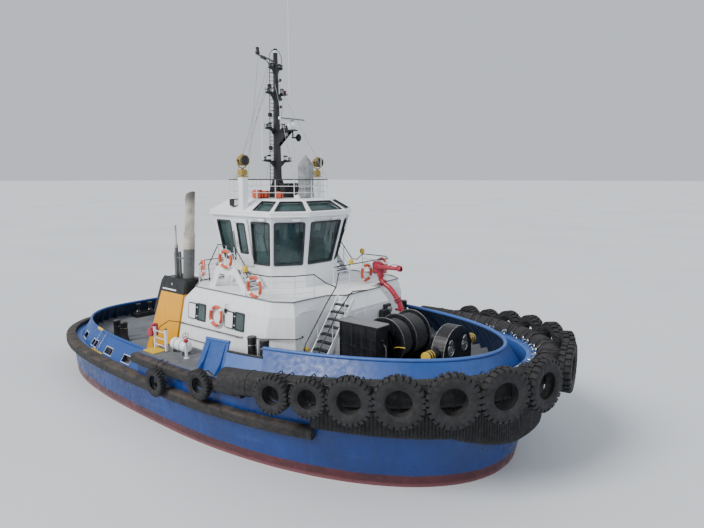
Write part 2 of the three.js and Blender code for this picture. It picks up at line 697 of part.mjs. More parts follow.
// A wheelhouse door on the outside of the wall, hung at its forward edge on an axis that rakes with the wall.
const DOOR = { lap: 50, off: 14, thickness: 46, hinge: 22, axisOff: 45, knuckle: 14 };
const HINGE_HEIGHTS = [0.14, 0.84];
const KNUCKLE_LENGTH = 110;

// A door about its hinge axis: x towards the hinge side, y up, z out of the wall.
function doorLeaf({ width, low, high, window }) {
  const inner = DOOR.off - DOOR.axisOff;
  const body = join(
    box([-DOOR.hinge - width, low, inner], [-DOOR.hinge, high, inner + DOOR.thickness]),
    HINGE_HEIGHTS.map((share) => {
      const y = low + share * (high - low);
      return join(
        bar([0, y, 0], [0, y + KNUCKLE_LENGTH, 0], DOOR.knuckle, 10),
        box([-DOOR.hinge - 60, y, -8], [0, y + KNUCKLE_LENGTH, 8]),
      );
    }),
  );
  if (!window) return body;
  return cut(body, box(
    [-DOOR.hinge - width + window.side, low + window.low, inner - 20],
    [-DOOR.hinge - window.side, high - window.high, inner + DOOR.thickness + 20],
  ));
}

// The fixed halves of the two hinges, rooted in the wall.
function doorLugs({ low, high }) {
  return HINGE_HEIGHTS.map((share) => {
    const y = low + share * (high - low) - GAP;
    return join(
      bar([0, y - 80, 0], [0, y, 0], DOOR.knuckle, 10),
      box([-8, y - 80, -DOOR.axisOff - 30], [8, y, 0]),
    );
  });
}

function framed(piece, frame) {
  return solid(geometryOf(piece).applyMatrix4(frame));
}

const CAB_DOOR = {
  width: CAB.doorFore - CAB.doorAft + 2 * DOOR.lap,
  low: 0,
  high: 1880,
  window: { side: 170, low: 520, high: 170 },
};
const wallUp = new THREE.Vector3(0, -(CAB.corners[1][1] - CAB.corners[1][3]), EAVE_Z - SILL_Z).normalize();
const wallOut = new THREE.Vector3(1, 0, 0).cross(wallUp);
const cabDoorFrame = new THREE.Matrix4().makeBasis(new THREE.Vector3(1, 0, 0), wallUp, wallOut);
cabDoorFrame.setPosition(
  new THREE.Vector3(CAB.doorFore + DOOR.lap + DOOR.hinge, -CAB.corners[1][3], SILL_Z)
    .addScaledVector(wallOut, DOOR.axisOff),
);
const cabDoor = framed(doorLeaf(CAB_DOOR), cabDoorFrame);
const cabLugs = doorLugs(CAB_DOOR).map((lug) => framed(lug, cabDoorFrame));
add("wheelhouse_walls", join(cabWalls, cabLugs, cabLugs.map(mirrored)), "white");
add("wheelhouse_door_starboard", cabDoor, "white");
add("wheelhouse_door_port", mirrored(cabDoor), "white");

// The weathertight door in the after end of the house.
const HOUSE_DOOR = { width: 800, low: 0, high: 1800, sillZ: 2050, hingeY: -1400 };
const houseDoorFrame = new THREE.Matrix4().makeBasis(
  new THREE.Vector3(0, -1, 0),
  new THREE.Vector3(0, 0, 1),
  new THREE.Vector3(-1, 0, 0),
);
houseDoorFrame.setPosition(AFT_HOUSE.aft - DOOR.axisOff, HOUSE_DOOR.hingeY, HOUSE_DOOR.sillZ);
add("deckhouse", join(deckhouse, doorLugs(HOUSE_DOOR).map((lug) => framed(lug, houseDoorFrame))), "white");
add("deckhouse_door", framed(doorLeaf(HOUSE_DOOR), houseDoorFrame), "white");

// Side landings outside the wheelhouse doors, each with steps down to the bridge deck.
const LANDING = { aft: 220, fore: 1340, floorZ: 5600, inner: 2080, outer: 2950, plate: 50, steps: 3 };
// Side plates with a wide opening below: x and z round the outline, from the after foot.
const LANDING_FOOT = BRIDGE_DECK_Z + GAP;
const outboardPlate = [
  [-400, LANDING_FOOT],
  [LANDING.aft, 5850],
  [LANDING.fore, 5870],
  [2060, LANDING_FOOT],
  [1700, LANDING_FOOT],
  [1220, LANDING.floorZ],
  [360, LANDING.floorZ],
  [50, LANDING_FOOT],
];
const inboardPlate = [
  [-400, LANDING_FOOT],
  [40, LANDING.floorZ],
  [1560, LANDING.floorZ],
  [2060, LANDING_FOOT],
  [1860, LANDING_FOOT],
  [1490, LANDING.floorZ - 60],
  [110, LANDING.floorZ - 60],
  [-200, LANDING_FOOT],
];
const LANDING_STEP = { run: 180, rise: 150, half: 110, thickness: 30 };
const landingSteps = Array.from({ length: LANDING.steps }, (_, i) => {
  const x = LANDING.fore + (i + 1) * LANDING_STEP.run;
  const z = LANDING.floorZ - (i + 1) * LANDING_STEP.rise;
  return box(
    [x - LANDING_STEP.half, -LANDING.outer + 20, z - LANDING_STEP.thickness],
    [x + LANDING_STEP.half, -LANDING.inner - 20, z],
  );
});
const landing = join(
  plateAcross(outboardPlate, -LANDING.outer, -LANDING.outer + LANDING.plate),
  plateAcross(inboardPlate, -LANDING.inner - LANDING.plate, -LANDING.inner),
  box(
    [LANDING.aft, -LANDING.outer + 10, LANDING.floorZ - 60],
    [LANDING.fore, -LANDING.inner, LANDING.floorZ],
  ),
  landingSteps,
);
add("landing_starboard", landing, "white");
add("landing_port", mirrored(landing), "white");

// Rails around the bridge deck and the roof: foot points, with two lower bars and the top bar.
function fence(points, height, levels, radius) {
  const lines = levels.map((level) => rail(points.map(([x, y, z]) => [x, y, z + level]), radius, 4));
  const posts = [];
  points.slice(1).forEach((point, i) => {
    const from = new THREE.Vector3(...points[i]);
    const to = new THREE.Vector3(...point);
    const bays = Math.max(1, Math.round(from.distanceTo(to) / 1700));
    for (let k = i ? 1 : 0; k <= bays; k++) {
      const [x, y, z] = from.clone().lerp(to, k / bays).toArray();
      posts.push(bar([x, y, z + GAP], [x, y, z + height], radius * 1.2, 4));
    }
  });
  return join(lines, posts);
}
const RAIL = { height: 850, levels: [420, 840], radius: 20 };
// Foot points of each rail: x and y.
const STARBOARD_RAIL = [[2450, -3380], [3750, -3380], [4350, -2750], [4620, -2050]];
const PORT_RAIL = [[2450, 3380], [3750, 3380], [4250, 2850], [4080, 2400], [4080, -400]];
const AFT_RAIL = [[-430, -3330], [-1350, -2500], [-1350, 2500], [-430, 3330]];
const BRIDGE_RAILS = { starboard: STARBOARD_RAIL, port: PORT_RAIL, aft: AFT_RAIL };
Object.entries(BRIDGE_RAILS).forEach(([name, points]) => {
  const feet = points.map(([x, y]) => [x, y, BRIDGE_DECK_Z]);
  add(`bridge_rail_${name}`, fence(feet, RAIL.height, RAIL.levels, RAIL.radius), "white");
});
const ROOF_RAIL = [
  [2550, -950], [2550, 950], [1300, 1750], [-400, 1750], [-900, 1100],
  [-900, -1100], [-400, -1750], [1300, -1750], [2550, -950],
];
const ROOF_RAIL_FOOT = 8200;
const railTop = ROOF_Z + 750 - ROOF_RAIL_FOOT;
add("roof_rail", cut(
  fence(ROOF_RAIL.map(([x, y]) => [x, y, ROOF_RAIL_FOOT]), railTop, [railTop - 375, railTop], 18),
  loft(roofRings.map((ring) => raise(ring, GAP))),
), "white");

// Stair from the foredeck up to the bridge deck, in front of the house.
const STAIR = { aft: 5060, fore: 5820, footY: -3100, topY: -1280, steps: 9 };
const stairSlope = (BRIDGE_DECK_Z - RAISED_DECK_Z) / (STAIR.topY - STAIR.footY);
const stairZ = (y) => RAISED_DECK_Z + stairSlope * (y - STAIR.footY);
const stringer = [
  [STAIR.footY - 100, RAISED_DECK_Z + GAP],
  [STAIR.footY + 160, RAISED_DECK_Z + GAP],
  [STAIR.topY, BRIDGE_DECK_Z - 120],
  [STAIR.topY, BRIDGE_DECK_Z + 80],
];
const treads = Array.from({ length: STAIR.steps }, (_, i) => {
  const y = STAIR.footY + (STAIR.topY - STAIR.footY) * (i + 1) / (STAIR.steps + 1);
  return box([STAIR.aft + 20, y - 60, stairZ(y) - 30], [STAIR.fore - 20, y + 120, stairZ(y)]);
});
add("foredeck_stair", join(
  plateAlong(stringer, STAIR.aft, STAIR.aft + 30),
  plateAlong(stringer, STAIR.fore - 30, STAIR.fore),
  treads,
), "white");

// Mast on the roof, with crosstrees, a radar bracket and a whip aerial.
const MAST = { x: 600, foot: 190, top: 90, crossZ: 12600, topZ: 14200 };
const crosstrees = [[9900, 750], [11200, 600], [MAST.crossZ, 520], [13600, 330]];
const RADAR = { x: 1500, z: 11150 };
add("mast", join(
  bar([MAST.x, 0, ROOF_Z + GAP], [MAST.x, 0, MAST.topZ], MAST.foot, 10, MAST.top),
  crosstrees.map(([z, half]) => box([MAST.x - 45, -half, z - 35], [MAST.x + 45, half, z + 35])),
  box([MAST.x, -60, RADAR.z - 90], [RADAR.x + 180, 60, RADAR.z]),
  bar([MAST.x, 0, 13900], [MAST.x - 1100, 0, 14350], 40, 6),
  bar([MAST.x - 1080, 0, 14330], [MAST.x - 1080, 0, 14650], 70, 8),
  bar([MAST.x + 300, 450, MAST.crossZ], [MAST.x + 300, 450, 16400], 16, 6),
  bar([MAST.x, 450, MAST.crossZ], [MAST.x + 320, 450, MAST.crossZ], 20, 6),
), "black");
const radarBody = join(
  turned([[0, 0], [150, 0], [180, 60], [180, 220], [120, 290], [40, 300], [40, 340], [0, 340]]),
);
add("radar_housing", radarBody, "white", [RADAR.x, 0, RADAR.z + GAP]);
const scanner = join(
  box([-60, -700, 0], [60, 700, 110]),
  bar([0, 0, -20], [0, 0, 10], 90, 12),
);
add("radar_scanner", scanner, "white", [RADAR.x, 0, RADAR.z + 340 + 20 + 2 * GAP]);

// Searchlights on the pedestals: a box base, a yoke and a drum lamp that faces forward.
const lamp = join(
  bar([0, 0, 0], [0, 0, 20], 70, 10),
  box([-140, -140, 8], [140, 140, 240]),
  bar([0, 0, 230], [0, 0, 320], 60, 10),
  box([-30, -250, 300], [30, 250, 340]),
  box([-30, -250, 300], [30, -215, 640]),
  box([-30, 215, 300], [30, 250, 640]),
  bar([-190, 0, 580], [190, 0, 580], 205, 16),
  bar([0, -240, 580], [0, 240, 580], 25, 8),
);
PEDESTALS.forEach(([x, y]) => {
  add(`searchlight_${y < 0 ? "starboard" : "port"}`, lamp, "yellow", [x, y, PEDESTAL.topZ + GAP]);
});
add("roof_locker", box([830, -150, ROOF_Z + GAP], [1180, 700, ROOF_Z + 600]), "black");
const coveredCompass = turned([[0, 0], [360, 0], [380, 300], [370, 1250], [260, 1550], [0, 1750]], 12);
add("covered_compass", moved(coveredCompass, 1700, 550, ROOF_Z + GAP), "grey");

// Towing winch on the foredeck: a frame with a drum along Y, and a motor housing to starboard.
const WINCH = {
  x: 7050, z: 3650, flange: 840, core: 420, flanges: [-1100, -350, 550], thickness: 45,
  shaft: 120, bore: 128, collar: 180, collarLength: 30, cheek: 70, overhang: 110,
};
const drumEnds = [WINCH.flanges[0], WINCH.flanges[2] + WINCH.thickness];
const drumBar = (past, radius, sides) =>
  bar([0, drumEnds[0] - past, 0], [0, drumEnds[1] + past, 0], radius, sides);
const drum = join(
  WINCH.flanges.map((y) => bar([0, y, 0], [0, y + WINCH.thickness, 0], WINCH.flange, 28)),
  drumBar(0, WINCH.core, 20),
  drumBar(WINCH.collarLength - GAP, WINCH.collar, 16),
  drumBar(WINCH.overhang, WINCH.shaft, 16),
);
add("winch_drum", drum, "black", [WINCH.x, 0, WINCH.z]);
const cheek = [
  [WINCH.x - 800, RAISED_DECK_Z + GAP],
  [WINCH.x + 800, RAISED_DECK_Z + GAP],
  [WINCH.x + 250, WINCH.z + 260],
  [WINCH.x - 250, WINCH.z + 260],
];
const journal = bar([WINCH.x, -3000, WINCH.z], [WINCH.x, 3000, WINCH.z], WINCH.bore, 16);
const cheekFaces = [drumEnds[0] - WINCH.collarLength, drumEnds[1] + WINCH.collarLength];
add("winch_frame", cut(join(
  plateAcross(cheek, cheekFaces[0] - WINCH.cheek, cheekFaces[0]),
  plateAcross(cheek, cheekFaces[1], cheekFaces[1] + WINCH.cheek),
  box(
    [WINCH.x - 800, cheekFaces[0] - WINCH.cheek, RAISED_DECK_Z + GAP],
    [WINCH.x + 800, cheekFaces[1] + WINCH.cheek, RAISED_DECK_Z + 60],
  ),
), journal), "black");
const HOUSING = { aft: 5850, fore: 7500, outer: -2100, inner: -1540, topZ: 4400 };
add("winch_housing", box(
  [HOUSING.aft, HOUSING.outer, RAISED_DECK_Z + GAP],
  [HOUSING.fore, HOUSING.inner, HOUSING.topZ],
), "black");

// Towing staple: a broad arch with two eyes for the line and a horn on each side.
const STAPLE = { x: 9050, half: 920, thick: 250, shoulderZ: 3430, eyeY: 450, eyeZ: 3620 };
const archOuter = [[-STAPLE.half, RAISED_DECK_Z + GAP], [STAPLE.half, RAISED_DECK_Z + GAP]];
for (let i = 0; i <= 12; i++) {
  const angle = (i / 12) * Math.PI;
  archOuter.push([STAPLE.half * Math.cos(angle), STAPLE.shoulderZ + STAPLE.half * Math.sin(angle)]);
}
const stapleEye = (y) => join(
  bar([STAPLE.x - 500, y, STAPLE.eyeZ], [STAPLE.x + 500, y, STAPLE.eyeZ], 190, 16),
  bar([STAPLE.x - 500, y, STAPLE.eyeZ + 200], [STAPLE.x + 500, y, STAPLE.eyeZ + 200], 115, 12),
);
const horn = (side) =>
  bar([STAPLE.x - 60, side * (STAPLE.half - 60), 3560], [STAPLE.x - 60, side * 1500, 3560], 180, 16);
add("towing_staple", join(
  cut(
    plateAlong(archOuter, STAPLE.x - STAPLE.thick, STAPLE.x + STAPLE.thick),
    stapleEye(-STAPLE.eyeY),
    stapleEye(STAPLE.eyeY),
  ),
  horn(-1),
  horn(1),
), "black");

// Bitts: two posts on a base plate.
const BITT = { radius: 165, spacing: 650 };
const bitts = (height) => join(
  box([-300, -220, 0], [BITT.spacing + 300, 220, 40]),
  bar([0, 0, 20], [0, 0, height], BITT.radius, 14),
  bar([BITT.spacing, 0, 20], [BITT.spacing, 0, height], BITT.radius, 14),
);
[["starboard", -1], ["port", 1]].forEach(([side, sign]) => {
  add(`bitts_${side}`, bitts(1190), "black", [3570, sign * 4080, RAISED_DECK_Z + GAP]);
  add(`stern_bitts_${side}`, bitts(900), "black", [-7300, sign * 3300, MAIN_DECK_Z + GAP]);
});

// Life raft canisters on cradles at the side.
const RAFT = { half: 500, z: 330, radius: 230 };
const cradle = [[-200, 0], [200, 0], [160, 280], [-160, 280]];
const raft = join(
  bar([-RAFT.half, 0, RAFT.z], [RAFT.half, 0, RAFT.z], RAFT.radius, 16),
  plateAlong(cradle, -340, -270),
  plateAlong(cradle, 270, 340),
  box([-340, -210, 0], [340, 210, 30]),
);
[["starboard", -1], ["port", 1]].forEach(([side, sign]) => {
  add(`life_raft_${side}`, raft, "white", [50, sign * 4600, RAISED_DECK_Z + GAP]);
});

// Fire monitor to port: a pipe that rises from the foredeck and bends aft over the house front,
// a turning head, and a barrel on the starboard side of the head.
const MONITOR = { x: 4700, y: 1760, topZ: 5330, pipe: 110, axisRise: 390, barrelOff: 215 };
// Bends of the monitor's pipe: x and z.
const MONITOR_PIPE = [
  [5780, 3900], [5600, 4380], [5200, 4830], [4850, 5030], [4715, 5170], [MONITOR.x, 5300],
];
const [standX, standZ] = MONITOR_PIPE[0];
add("monitor_riser", join(
  bar([standX, MONITOR.y, RAISED_DECK_Z + GAP], [standX, MONITOR.y, RAISED_DECK_Z + 50], 230, 14),
  bar([standX, MONITOR.y, RAISED_DECK_Z + 20], [standX, MONITOR.y, standZ + 40], 120, 12),
  pipe(MONITOR_PIPE.map(([x, z]) => [x, MONITOR.y, z]), MONITOR.pipe, 14, 5),
  bar([MONITOR.x, MONITOR.y, MONITOR.topZ - 60], [MONITOR.x, MONITOR.y, MONITOR.topZ], 150, 14),
), "red");
add("monitor_body", join(
  bar([0, 0, 0], [0, 0, 70], 150, 14),
  bar([0, 0, 60], [0, 0, 140], 120, 12),
  box([-370, -90, 90], [130, 90, 560]),
), "red", [MONITOR.x, MONITOR.y, MONITOR.topZ + 2 * GAP]);

const barrel = join(
  bar([-120, 0, 0], [300, 0, 0], 95, 14),
  bar([280, 0, 0], [1010, 0, 0], 90, 14, 70),
  bar([1000, 0, 0], [1160, 0, 0], 105, 14),
  bar([0, 60, 0], [0, MONITOR.barrelOff - 90 - GAP, 0], 80, 12),
);
const barrelAxis = [MONITOR.x, MONITOR.y - MONITOR.barrelOff, MONITOR.topZ + MONITOR.axisRise];
add("monitor_barrel", barrel, "red", barrelAxis);

// Tyres hung as fenders. A row that shares one lashing wire is one piece.
const SMALL_TYRE = { radius: 520, bore: 260, width: 260, sink: 30 };

function tyre({ radius, bore, width }) {
  const half = width / 2;
  return turned([
    [bore, -half * 0.7], [radius * 0.85, -half], [radius, -half * 0.6],
    [radius, half * 0.6], [radius * 0.85, half], [bore, half * 0.7], [bore, -half * 0.7],
  ], 12);
}

// A piece made about the Z axis, set upright with that axis along a level heading.
function upright(piece, heading, [x, y, z]) {
  const matrix = new THREE.Matrix4().makeRotationZ(heading)
    .multiply(new THREE.Matrix4().makeRotationY(Math.PI / 2));
  matrix.setPosition(x, y, z);
  return solid(geometryOf(piece).applyMatrix4(matrix));
}

// Side tyres: forward position, height.
const SIDE_TYRES = [[500, 2000], [2900, 2450]];
const sideClearance = [LOWER_FENDER, UPPER_FENDER].map((fender) => outlineLoft(beadRows({
  ...fender, breadth: fender.breadth + GAP, bow: fender.bow + GAP,
})));
const sidePower = 2.2;
SIDE_TYRES.forEach(([x, z], i) => {
  const fender = i ? UPPER_FENDER : LOWER_FENDER;
  const side = (at) => fender.breadth * (1 - (at / fender.bow) ** sidePower) ** (1 / sidePower);
  const lean = side(x) - side(x + 1);
  const heading = Math.atan2(-1, lean);
  const reach = SMALL_TYRE.width / 2 - SMALL_TYRE.sink;
  const shape = upright(tyre(SMALL_TYRE), heading, [x, -side(x) - reach, z]);
  const piece = cut(shape, sideClearance);
  add(`side_tyre_starboard_${i + 1}`, piece, "rubber");
  add(`side_tyre_port_${i + 1}`, mirrored(piece), "rubber");
});

// Bow tyres on the round fender, on each side: angle round the bow from abeam, and tyre radius.
const BOW_TYRES = [
  [0.521, 580], [0.631, 580], [0.753, 700], [0.899, 750], [1.069, 780], [1.253, 790], [1.45, 800],
];
const BOW_TYRE = { width: 420, off: -12 };
function bowPoint(angle, outset) {
  const at = (turn) => {
    const power = 2 / BOW_FENDER.fullness;
    return new THREE.Vector3(
      BOW_FENDER.bow * Math.sin(turn) ** power,
      -BOW_FENDER.breadth * Math.sign(Math.cos(turn)) * Math.abs(Math.cos(turn)) ** power,
      0,
    );
  };
  const tangent = at(angle + 0.01).sub(at(angle - 0.01)).normalize();
  const normal = new THREE.Vector3(tangent.y, -tangent.x, 0);
  const point = at(angle).addScaledVector(normal, outset);
  return { point, heading: Math.atan2(normal.y, normal.x) };
}
const bowTyres = [];
const lashing = [];
[...BOW_TYRES, ...BOW_TYRES.slice().reverse().map(([angle, radius]) => [Math.PI - angle, radius])]
  .forEach(([angle, radius]) => {
    const { point, heading } = bowPoint(angle, BOW_FENDER.radius + BOW_TYRE.width / 2 + BOW_TYRE.off);
    const shape = tyre({ radius, bore: radius * 0.5, width: BOW_TYRE.width });
    const z = BOW_FENDER.foot + BOW_FENDER.sheer * point.x;
    bowTyres.push(upright(shape, heading, [point.x, point.y, z]));
    lashing.push([point.x, point.y, z + radius * 0.75]);
  });
add("bow_tyres", cut(join(bowTyres, rail(lashing, 30, 4)), roundFenderClearance), "rubber");

// Azimuth thrusters under the stern: a leg with its pod and nozzle, and a propeller inside the nozzle.
function alongX(piece) {
  return solid(geometryOf(piece).rotateY(Math.PI / 2));
}
const nozzleHalf = THRUSTER.nozzleLength / 2;
const nozzle = turned([
  [THRUSTER.nozzleInner, -nozzleHalf],
  [THRUSTER.nozzleInner + 60, -nozzleHalf],
  [THRUSTER.nozzleOuter, nozzleHalf * 0.4],
  [THRUSTER.nozzleOuter - 30, nozzleHalf * 0.9],
  [THRUSTER.nozzleInner + 90, nozzleHalf],
  [THRUSTER.nozzleInner, nozzleHalf * 0.5],
  [THRUSTER.nozzleInner, -nozzleHalf],
], 24);
const legLength = THRUSTER.flangeZ - GAP - THRUSTER.shaftZ;
const thruster = join(
  bar([0, 0, 0], [0, 0, legLength], 250, 14, 330),
  bar([0, 0, legLength - 90], [0, 0, legLength], THRUSTER.trunk - 60, 20),
  alongX(turned([[0, -290], [230, -290], [300, 0], [250, 420], [0, 560]], 16)),
  moved(alongX(nozzle), THRUSTER.nozzleX, 0, 0),
  box([-180, -45, -THRUSTER.nozzleInner - 40], [30, 45, 0]),
);

// Propeller about its shaft: a hub and four pitched blades.
const PROPELLER = { radius: 985, hub: 210, front: -290 - THRUSTER.nozzleX - GAP, blades: 4, pitch: 0.55 };
const bladeOutline = new THREE.Shape();
bladeOutline.moveTo(-150, 120);
bladeOutline.quadraticCurveTo(-420, 620, -120, PROPELLER.radius - 15);
bladeOutline.lineTo(120, PROPELLER.radius - 15);
bladeOutline.quadraticCurveTo(420, 620, 150, 120);
const BLADE = { depth: 36, bevelEnabled: false, curveSegments: 5 };
const bladePlate = new THREE.ExtrudeGeometry(bladeOutline, BLADE)
  .translate(0, 0, -18)
  .rotateY(Math.PI / 2 - PROPELLER.pitch);
const propeller = join(
  alongX(turned([
    [0, -260], [PROPELLER.hub * 0.8, -190], [PROPELLER.hub, -100],
    [PROPELLER.hub, PROPELLER.front], [0, PROPELLER.front],
  ], 16)),
  Array.from({ length: PROPELLER.blades }, (_, i) =>
    solid(bladePlate.clone().rotateX((i / PROPELLER.blades) * Math.PI * 2))),
).intersect(alongX(turned([[0, -400], [PROPELLER.radius, -400], [PROPELLER.radius, 400], [0, 400]], 24)));
[["starboard", -1], ["port", 1]].forEach(([side, sign]) => {
  const [x, y, z] = [THRUSTER.x, sign * THRUSTER.y, THRUSTER.shaftZ];
  add(`thruster_${side}`, onSide(sign, thruster), "red", [x, y, z]);
  add(`propeller_${side}`, onSide(sign, propeller), "bronze", [x + THRUSTER.nozzleX, y, z]);
});

export default tug;
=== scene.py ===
"""A harbour tugboat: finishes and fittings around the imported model. Metres, +X forward, +Y to port, +Z up."""
import math
import random

import bpy
from mathutils import Matrix, Vector


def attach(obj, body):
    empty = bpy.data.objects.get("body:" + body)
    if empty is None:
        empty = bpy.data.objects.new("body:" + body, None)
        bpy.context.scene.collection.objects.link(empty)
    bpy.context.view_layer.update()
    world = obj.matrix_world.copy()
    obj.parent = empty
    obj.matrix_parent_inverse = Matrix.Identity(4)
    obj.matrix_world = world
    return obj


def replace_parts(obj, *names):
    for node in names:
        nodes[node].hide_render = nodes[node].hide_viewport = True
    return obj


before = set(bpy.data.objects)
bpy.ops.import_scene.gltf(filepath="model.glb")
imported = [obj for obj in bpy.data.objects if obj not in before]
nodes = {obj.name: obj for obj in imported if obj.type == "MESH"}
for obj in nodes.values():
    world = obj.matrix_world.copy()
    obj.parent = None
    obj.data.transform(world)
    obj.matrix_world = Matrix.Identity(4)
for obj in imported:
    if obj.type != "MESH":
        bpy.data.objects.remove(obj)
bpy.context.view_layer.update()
scene = bpy.context.scene

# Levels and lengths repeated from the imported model.
MAIN_DECK = 1.6
RAISED_DECK = 2.65
BRIDGE_DECK = 5.0
ROOF_TOP = 8.42
RAISED_START = -1.45
SIDES = ((-1, "starboard"), (1, "port"))
UP = Vector((0, 0, 1))

# The camera, and the angle that the photograph was taken from.
CAMERA_AT = Vector((18.5, -16.5, 9.27))
CAMERA_LOOK = Vector((-0.6355, 0.7573, -0.1504))
camera_data = bpy.data.cameras.new("camera")
camera_data.sensor_width = 36.0
camera_data.lens = 29.23
camera_data.clip_end = 5000.0
camera = bpy.data.objects.new("camera", camera_data)
camera.location = CAMERA_AT
camera.rotation_euler = CAMERA_LOOK.to_track_quat("-Z", "Y").to_euler()
scene.collection.objects.link(camera)
scene.camera = camera


# Node materials.
class Look:
    """One procedural material, built on object coordinates, which are metres in the ship's frame."""

    def __init__(self, name, rough=0.5, metal=0.0):
        self.material = bpy.data.materials.new(name)
        self.material.use_nodes = True
        self.nodes = self.material.node_tree.nodes
        self.links = self.material.node_tree.links
        self.shader = self.nodes["Principled BSDF"]
        self.shader.inputs["Roughness"].default_value = rough
        self.shader.inputs["Metallic"].default_value = metal
        self.coordinates = self.nodes.new("ShaderNodeTexCoord").outputs["Object"]

    def put(self, socket, value):
        if isinstance(value, bpy.types.NodeSocket):
            self.links.new(value, socket)
        elif isinstance(value, tuple):
            socket.default_value = (*value, 1.0) if len(value) == 3 else value
        else:
            socket.default_value = value

    def noise(self, scale, detail=4.0, stretch=(1, 1, 1), low=0.35, high=0.65):
        mapping = self.nodes.new("ShaderNodeMapping")
        self.links.new(self.coordinates, mapping.inputs["Vector"])
        mapping.inputs["Scale"].default_value = stretch
        texture = self.nodes.new("ShaderNodeTexNoise")
        self.links.new(mapping.outputs["Vector"], texture.inputs["Vector"])
        texture.inputs["Scale"].default_value = scale
        texture.inputs["Detail"].default_value = detail
        return self.between(texture.outputs["Fac"], low, high)

    def between(self, value, low, high, to_low=0.0, to_high=1.0):
        node = self.nodes.new("ShaderNodeMapRange")
        self.put(node.inputs["Value"], value)
        node.inputs["From Min"].default_value = low
        node.inputs["From Max"].default_value = high
        node.inputs["To Min"].default_value = to_low
        node.inputs["To Max"].default_value = to_high
        return node.outputs["Result"]

    def math(self, operation, a, b=0.0):
        node = self.nodes.new("ShaderNodeMath")
        node.operation = operation
        self.put(node.inputs[0], a)
        self.put(node.inputs[1], b)
        return node.outputs[0]

    def mix(self, factor, a, b):
        node = self.nodes.new("ShaderNodeMix")
        node.data_type = "RGBA"
        self.put(node.inputs[0], factor)
        self.put(node.inputs[6], a)
        self.put(node.inputs[7], b)
        return node.outputs[2]

    def over(self, base, mask, amount, colour):
        """A colour laid over another one, where a mask lets it through and by an amount."""
        return self.mix(self.math("MULTIPLY", mask, amount), base, colour)

    def place(self, axis):
        node = self.nodes.new("ShaderNodeSeparateXYZ")
        self.links.new(self.coordinates, node.inputs[0])
        return node.outputs[axis]

    def facing_up(self):
        geometry = self.nodes.new("ShaderNodeNewGeometry")
        node = self.nodes.new("ShaderNodeSeparateXYZ")
        self.links.new(geometry.outputs["Normal"], node.inputs[0])
        return node.outputs[2]

    def bump(self, height, distance, strength=1.0):
        node = self.nodes.new("ShaderNodeBump")
        node.inputs["Strength"].default_value = strength
        node.inputs["Distance"].default_value = distance
        self.links.new(height, node.inputs["Height"])
        self.links.new(node.outputs["Normal"], self.shader.inputs["Normal"])

    def colour(self, value):
        self.put(self.shader.inputs["Base Color"], value)
        return self

    def roughness(self, value):
        self.links.new(value, self.shader.inputs["Roughness"])


def shade(colour, factor):
    return tuple(min(1.0, channel * factor) for channel in colour)


RUST = (0.16, 0.055, 0.02)
GRIME = (0.10, 0.085, 0.07)


def paint(name, colour, rough=0.42, dirt=0.25, rust=0.0, patch=0.12, ripple=0.004):
    """Ship's paint: patchy colour, streaks that run down, a little rust, and the slight ripple of plating."""
    look = Look(name, rough)
    base = look.mix(look.noise(0.9, 5), shade(colour, 1.0 - patch), shade(colour, 1.0 + patch * 0.5))
    base = look.mix(look.noise(28, 3, low=0.3, high=0.7), base, shade(colour, 1.0 - patch * 0.4))
    base = look.over(base, look.noise(3.0, 5, (3, 3, 0.25), 0.52, 0.78), dirt, GRIME)
    if rust:
        base = look.over(base, look.noise(5.0, 7, (1.6, 1.6, 0.5), 0.64, 0.74), rust, RUST)
    look.colour(base)
    look.roughness(look.between(look.noise(6, 4), 0, 1, rough - 0.08, rough + 0.14))
    look.bump(look.noise(1.7, 3, low=0.2, high=0.8), ripple)
    return look


def rubber(name, colour, worn_and_lit, wear_and_light=0.8, grain=60):
    """Black rubber with brown or grey scuffs, lighter where it faces up: partly wear, partly painted light from
    above.
    """
    look = Look(name, 0.82)
    base = look.mix(look.noise(3.5, 6), colour, shade(colour, 2.2))
    scuffs = look.noise(2.2, 8, (1, 1, 2.5), 0.38, 0.62)
    # Faces that point up get the lighter colour: partly wear, partly painted light from above.
    top = look.between(look.facing_up(), 0.15, 0.8)
    base = look.over(base, look.math("MULTIPLY", top, scuffs), wear_and_light, worn_and_lit)
    look.colour(look.over(base, look.noise(7.0, 6, (1, 1, 3), 0.62, 0.72), 0.45, shade(worn_and_lit, 1.3)))
    look.roughness(look.between(look.noise(9, 4), 0, 1, 0.68, 0.92))
    look.bump(look.noise(grain, 6, low=0.2, high=0.8), 0.006)
    return look


def metal(name, colour, rough, stretch=(1, 1, 1), stain=0.3):
    look = Look(name, rough, 1.0)
    base = look.mix(look.noise(3.0, 5), shade(colour, 0.75), colour)
    look.colour(look.over(base, look.noise(1.3, 6, stretch, 0.5, 0.75), stain, (0.16, 0.13, 0.1)))
    look.roughness(look.between(look.noise(14, 4, stretch), 0, 1, rough - 0.1, rough + 0.15))
    look.bump(look.noise(90, 3, stretch), 0.001)
    return look


def fabric(name, colour, threads=420.0):
    look = Look(name, 0.9)
    weave = [look.nodes.new("ShaderNodeTexWave") for _ in range(2)]
    for texture, direction in zip(weave, ("X", "Z")):
        look.links.new(look.coordinates, texture.inputs["Vector"])
        texture.bands_direction = direction
        texture.inputs["Scale"].default_value = threads / 20
        texture.inputs["Distortion"].default_value = 0.6
    cross = look.math("MULTIPLY", weave[0].outputs["Fac"], weave[1].outputs["Fac"])
    base = look.mix(look.noise(4.0, 6), shade(colour, 0.7), shade(colour, 1.15))
    look.colour(look.over(base, cross, 0.3, shade(colour, 0.5)))
    look.bump(cross, 0.002)
    look.shader.inputs["Sheen Weight"].default_value = 0.25
    return look


